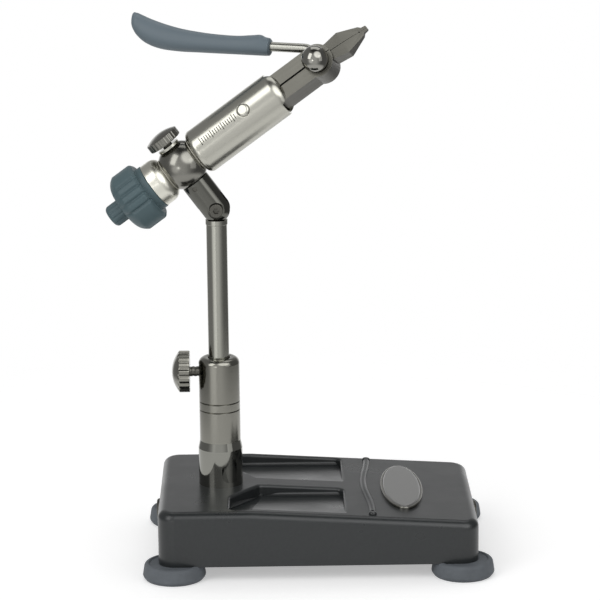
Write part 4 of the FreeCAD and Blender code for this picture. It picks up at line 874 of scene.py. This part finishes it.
class VISE_OT_stage(bpy.types.Operator):
    """Sets the floor, the studio lights, the background and the camera"""
    bl_idname = "vise.stage"
    bl_label = "Stage"

    # Softboxes: name, place, the point that they face, width, height and power in watts.
    softboxes = (
        ("key_softbox", (-0.85, -0.75, 0.85), (0.0, 0.0, 0.15), 0.6, 1.1, 5.2),
        ("fill_softbox", (1.0, -0.8, 0.5), (0.0, 0.0, 0.15), 0.7, 1.1, 1.6),
        ("top_softbox", (0.1, 0.5, 1.2), (0.0, 0.0, 0.1), 0.9, 0.7, 2.2),
    )

    # What polished metal sees of the room, zone by zone: a backdrop low behind the vise, a wall in
    # front that is dimmer on the right and at the sides and dark at the ceiling, and three bright
    # panels. A zone is a product of ramps: direction, start, end, low, high. A ramp goes from low to
    # high while the cosine of the angle to its direction goes from start to end.
    zones = (
        ((BACK, 0.75, 0.9, 0.0, 0.9), (UP, 0.03, 0.38, 1.0, 0.0)),
        ((RIGHT, 0.1, 0.8, 1.0, 0.45), (BACK, -0.3, -0.95, 0.25, 0.85), (UP, 0.8, 0.98, 1.0, 0.0)),
        (((-0.55, -0.81, -0.2), 0.93, 0.99, 0.0, 0.5),),
        (((0.4, -0.6, 0.7), 0.83, 0.95, 0.0, 2.0),),
        (((-0.3, -0.95, -0.07), 0.99, 0.998, 0.0, 3.0),),
    )

    # Strength of the room outside every zone, and of the floor's own light where it's looked at.
    gloom = 0.08
    glow = 0.4

    # Shares of the floor's half side at which it starts to fade and is gone.
    fade = (0.4, 0.85)

    def execute(self, context):
        settings = context.scene.vise_stage
        self.floor(settings)
        self.room(context, settings)
        for softbox in self.softboxes:
            self.lamp(*softbox)
        self.camera(context, settings)
        context.scene.view_settings.view_transform = "Standard"
        return {"FINISHED"}

    def floor(self, settings):
        """Square floor under the vise."""
        half = settings.floor / 2
        corners = [(-half, -half, 0), (half, -half, 0), (half, half, 0), (-half, half, 0)]
        mesh = bpy.data.meshes.new("floor")
        mesh.from_pydata(corners, [], [(0, 1, 2, 3)])
        mesh.materials.append(self.pale_floor(half))
        floor = bpy.data.objects.new("floor", mesh)
        bpy.context.scene.collection.objects.link(floor)

    def pale_floor(self, half):
        """Matt pale floor that looks white to the camera and in polished metal, keeps the shadow, and
        fades into the backdrop with its distance from the vise."""
        material = bpy.data.materials.new("pale_floor")
        material.use_nodes = True
        tree = material.node_tree
        tree.nodes.clear()
        path = add(tree, "ShaderNodeLightPath")
        seen = path.outputs["Is Camera Ray"]
        for kind in ("Is Glossy Ray", "Is Transmission Ray"):
            either = add(tree, "ShaderNodeMath", {0: seen, 1: path.outputs[kind]}, operation="MAXIMUM")
            seen = either.outputs[0]
        strength = add(tree, "ShaderNodeMath", {0: seen, 1: self.glow}, operation="MULTIPLY")
        light = add(tree, "ShaderNodeEmission", {"Color": (1, 1, 1, 1), "Strength": strength.outputs[0]})
        matt = add(tree, "ShaderNodeBsdfDiffuse", {"Color": (0.8, 0.8, 0.8, 1)})
        both = add(tree, "ShaderNodeAddShader", {0: light.outputs[0], 1: matt.outputs[0]})
        place = add(tree, "ShaderNodeTexCoord").outputs["Object"]
        distance = add(tree, "ShaderNodeVectorMath", {0: place}, operation="LENGTH").outputs["Value"]
        start, end = self.fade
        share = add(tree, "ShaderNodeMapRange", {
            "Value": distance, "From Min": start * half, "From Max": end * half, "To Min": 0.0, "To Max": 1.0,
        }, interpolation_type="SMOOTHSTEP")
        clear = add(tree, "ShaderNodeBsdfTransparent")
        faded = add(tree, "ShaderNodeMixShader", {
            0: share.outputs["Result"], 1: both.outputs[0], 2: clear.outputs[0],
        })
        add(tree, "ShaderNodeOutputMaterial", {"Surface": faded.outputs[0]})
        return material

    def room(self, context, settings):
        """Room that gives an even light, looks white to the camera, and shows polished metal the
        gloom and the sum of its zones."""
        world = bpy.data.worlds.new("studio")
        context.scene.world = world
        world.use_nodes = True
        tree = world.node_tree
        tree.nodes.clear()
        look = add(tree, "ShaderNodeTexCoord").outputs["Generated"]
        studio = self.gloom
        for ramps in self.zones:
            zone = 1.0
            for toward, start, end, low, high in ramps:
                facing = add(tree, "ShaderNodeVectorMath", {0: look, 1: toward}, operation="DOT_PRODUCT")
                ramp = add(tree, "ShaderNodeMapRange", {
                    "Value": facing.outputs["Value"], "From Min": start, "From Max": end,
                    "To Min": low, "To Max": high,
                }, interpolation_type="SMOOTHSTEP").outputs["Result"]
                zone = add(tree, "ShaderNodeMath", {0: zone, 1: ramp}, operation="MULTIPLY").outputs[0]
            studio = add(tree, "ShaderNodeMath", {0: studio, 1: zone}, operation="ADD").outputs[0]
        path = add(tree, "ShaderNodeLightPath")
        shiny = add(tree, "ShaderNodeMix", {
            "Factor": path.outputs["Is Glossy Ray"], "A": settings.level, "B": studio,
        }, data_type="FLOAT")
        seen = add(tree, "ShaderNodeMix", {
            "Factor": path.outputs["Is Camera Ray"], "A": shiny.outputs[0], "B": 1.0,
        }, data_type="FLOAT")
        light = add(tree, "ShaderNodeBackground", {"Color": (1, 1, 1, 1), "Strength": seen.outputs[0]})
        add(tree, "ShaderNodeOutputWorld", {"Surface": light.outputs[0]})

    def lamp(self, name, eye, target, width, height, power):
        """Rectangular softbox that faces a point."""
        light = bpy.data.lights.new(name, "AREA")
        light.shape = "RECTANGLE"
        light.size = width
        light.size_y = height
        light.energy = power
        lamp = bpy.data.objects.new(name, light)
        lamp.location = eye
        lamp.rotation_euler = (Vector(target) - Vector(eye)).to_track_quat("-Z", "Y").to_euler()
        bpy.context.scene.collection.objects.link(lamp)

    def camera(self, context, settings):
        """Camera from its place and three angles: it looks along the yaw and pitch, then rolls."""
        yaw, pitch, roll = settings.yaw, settings.pitch, settings.roll
        forward = Vector((math.sin(yaw) * math.cos(pitch), math.cos(yaw) * math.cos(pitch), -math.sin(pitch)))
        level = Vector((math.cos(yaw), -math.sin(yaw), 0.0))
        upright = level.cross(forward)
        right = level * math.cos(roll) + upright * math.sin(roll)
        up = upright * math.cos(roll) - level * math.sin(roll)
        lens = bpy.data.cameras.new("camera")
        lens.lens = settings.lens
        lens.sensor_width = 36.0
        lens.clip_start = 0.05
        camera = bpy.data.objects.new("camera", lens)
        turn = Matrix((right, up, -forward)).transposed().to_4x4()
        camera.matrix_world = Matrix.Translation(settings.eye) @ turn
        context.scene.collection.objects.link(camera)
        context.scene.camera = camera


class VISE_PT_panel(bpy.types.Panel):
    """Lists the steps and their settings"""
    bl_idname = "VISE_PT_panel"
    bl_label = "Fly Tying Vise"
    bl_space_type = "VIEW_3D"
    bl_region_type = "UI"
    bl_category = "Vise"

    def draw(self, context):
        for operator in OPERATORS:
            self.layout.operator(operator.bl_idname, text=operator.bl_label)
        for name, (group, text) in GROUPS.items():
            box = self.layout.box()
            box.label(text=text)
            for field in group.__annotations__:
                box.prop(getattr(context.scene, name), field)


OPERATORS = (
    VISE_OT_pedestal, VISE_OT_post, VISE_OT_clamp, VISE_OT_link, VISE_OT_brake, VISE_OT_barrel,
    VISE_OT_hand_wheel, VISE_OT_jaws, VISE_OT_lever, VISE_OT_stage,
)
GROUPS = {
    "vise_colours": (FinishColours, "Colours of the finishes"),
    "vise_grip": (GripSettings, "Lever grip"),
    "vise_wheel": (WheelSettings, "Hand wheel"),
    "vise_knobs": (KnobSettings, "Knobs and threads"),
    "vise_scale": (ScaleSettings, "Graduations"),
    "vise_stage": (StageSettings, "Stage and camera"),
}


def register():
    for group, _ in GROUPS.values():
        bpy.utils.register_class(group)
    for name, (group, text) in GROUPS.items():
        setattr(bpy.types.Scene, name, bpy.props.PointerProperty(type=group, description=text))
    for operator in OPERATORS:
        bpy.utils.register_class(operator)
    bpy.utils.register_class(VISE_PT_panel)


def unregister():
    bpy.utils.unregister_class(VISE_PT_panel)
    for operator in reversed(OPERATORS):
        bpy.utils.unregister_class(operator)
    for name in GROUPS:
        delattr(bpy.types.Scene, name)
    for group, _ in GROUPS.values():
        bpy.utils.unregister_class(group)


def main():
    """Registers the classes and runs the operators in order."""
    register()
    for operator in OPERATORS:
        family, step = operator.bl_idname.split(".")
        getattr(getattr(bpy.ops, family), step)()


if __name__ == "__main__":
    main()
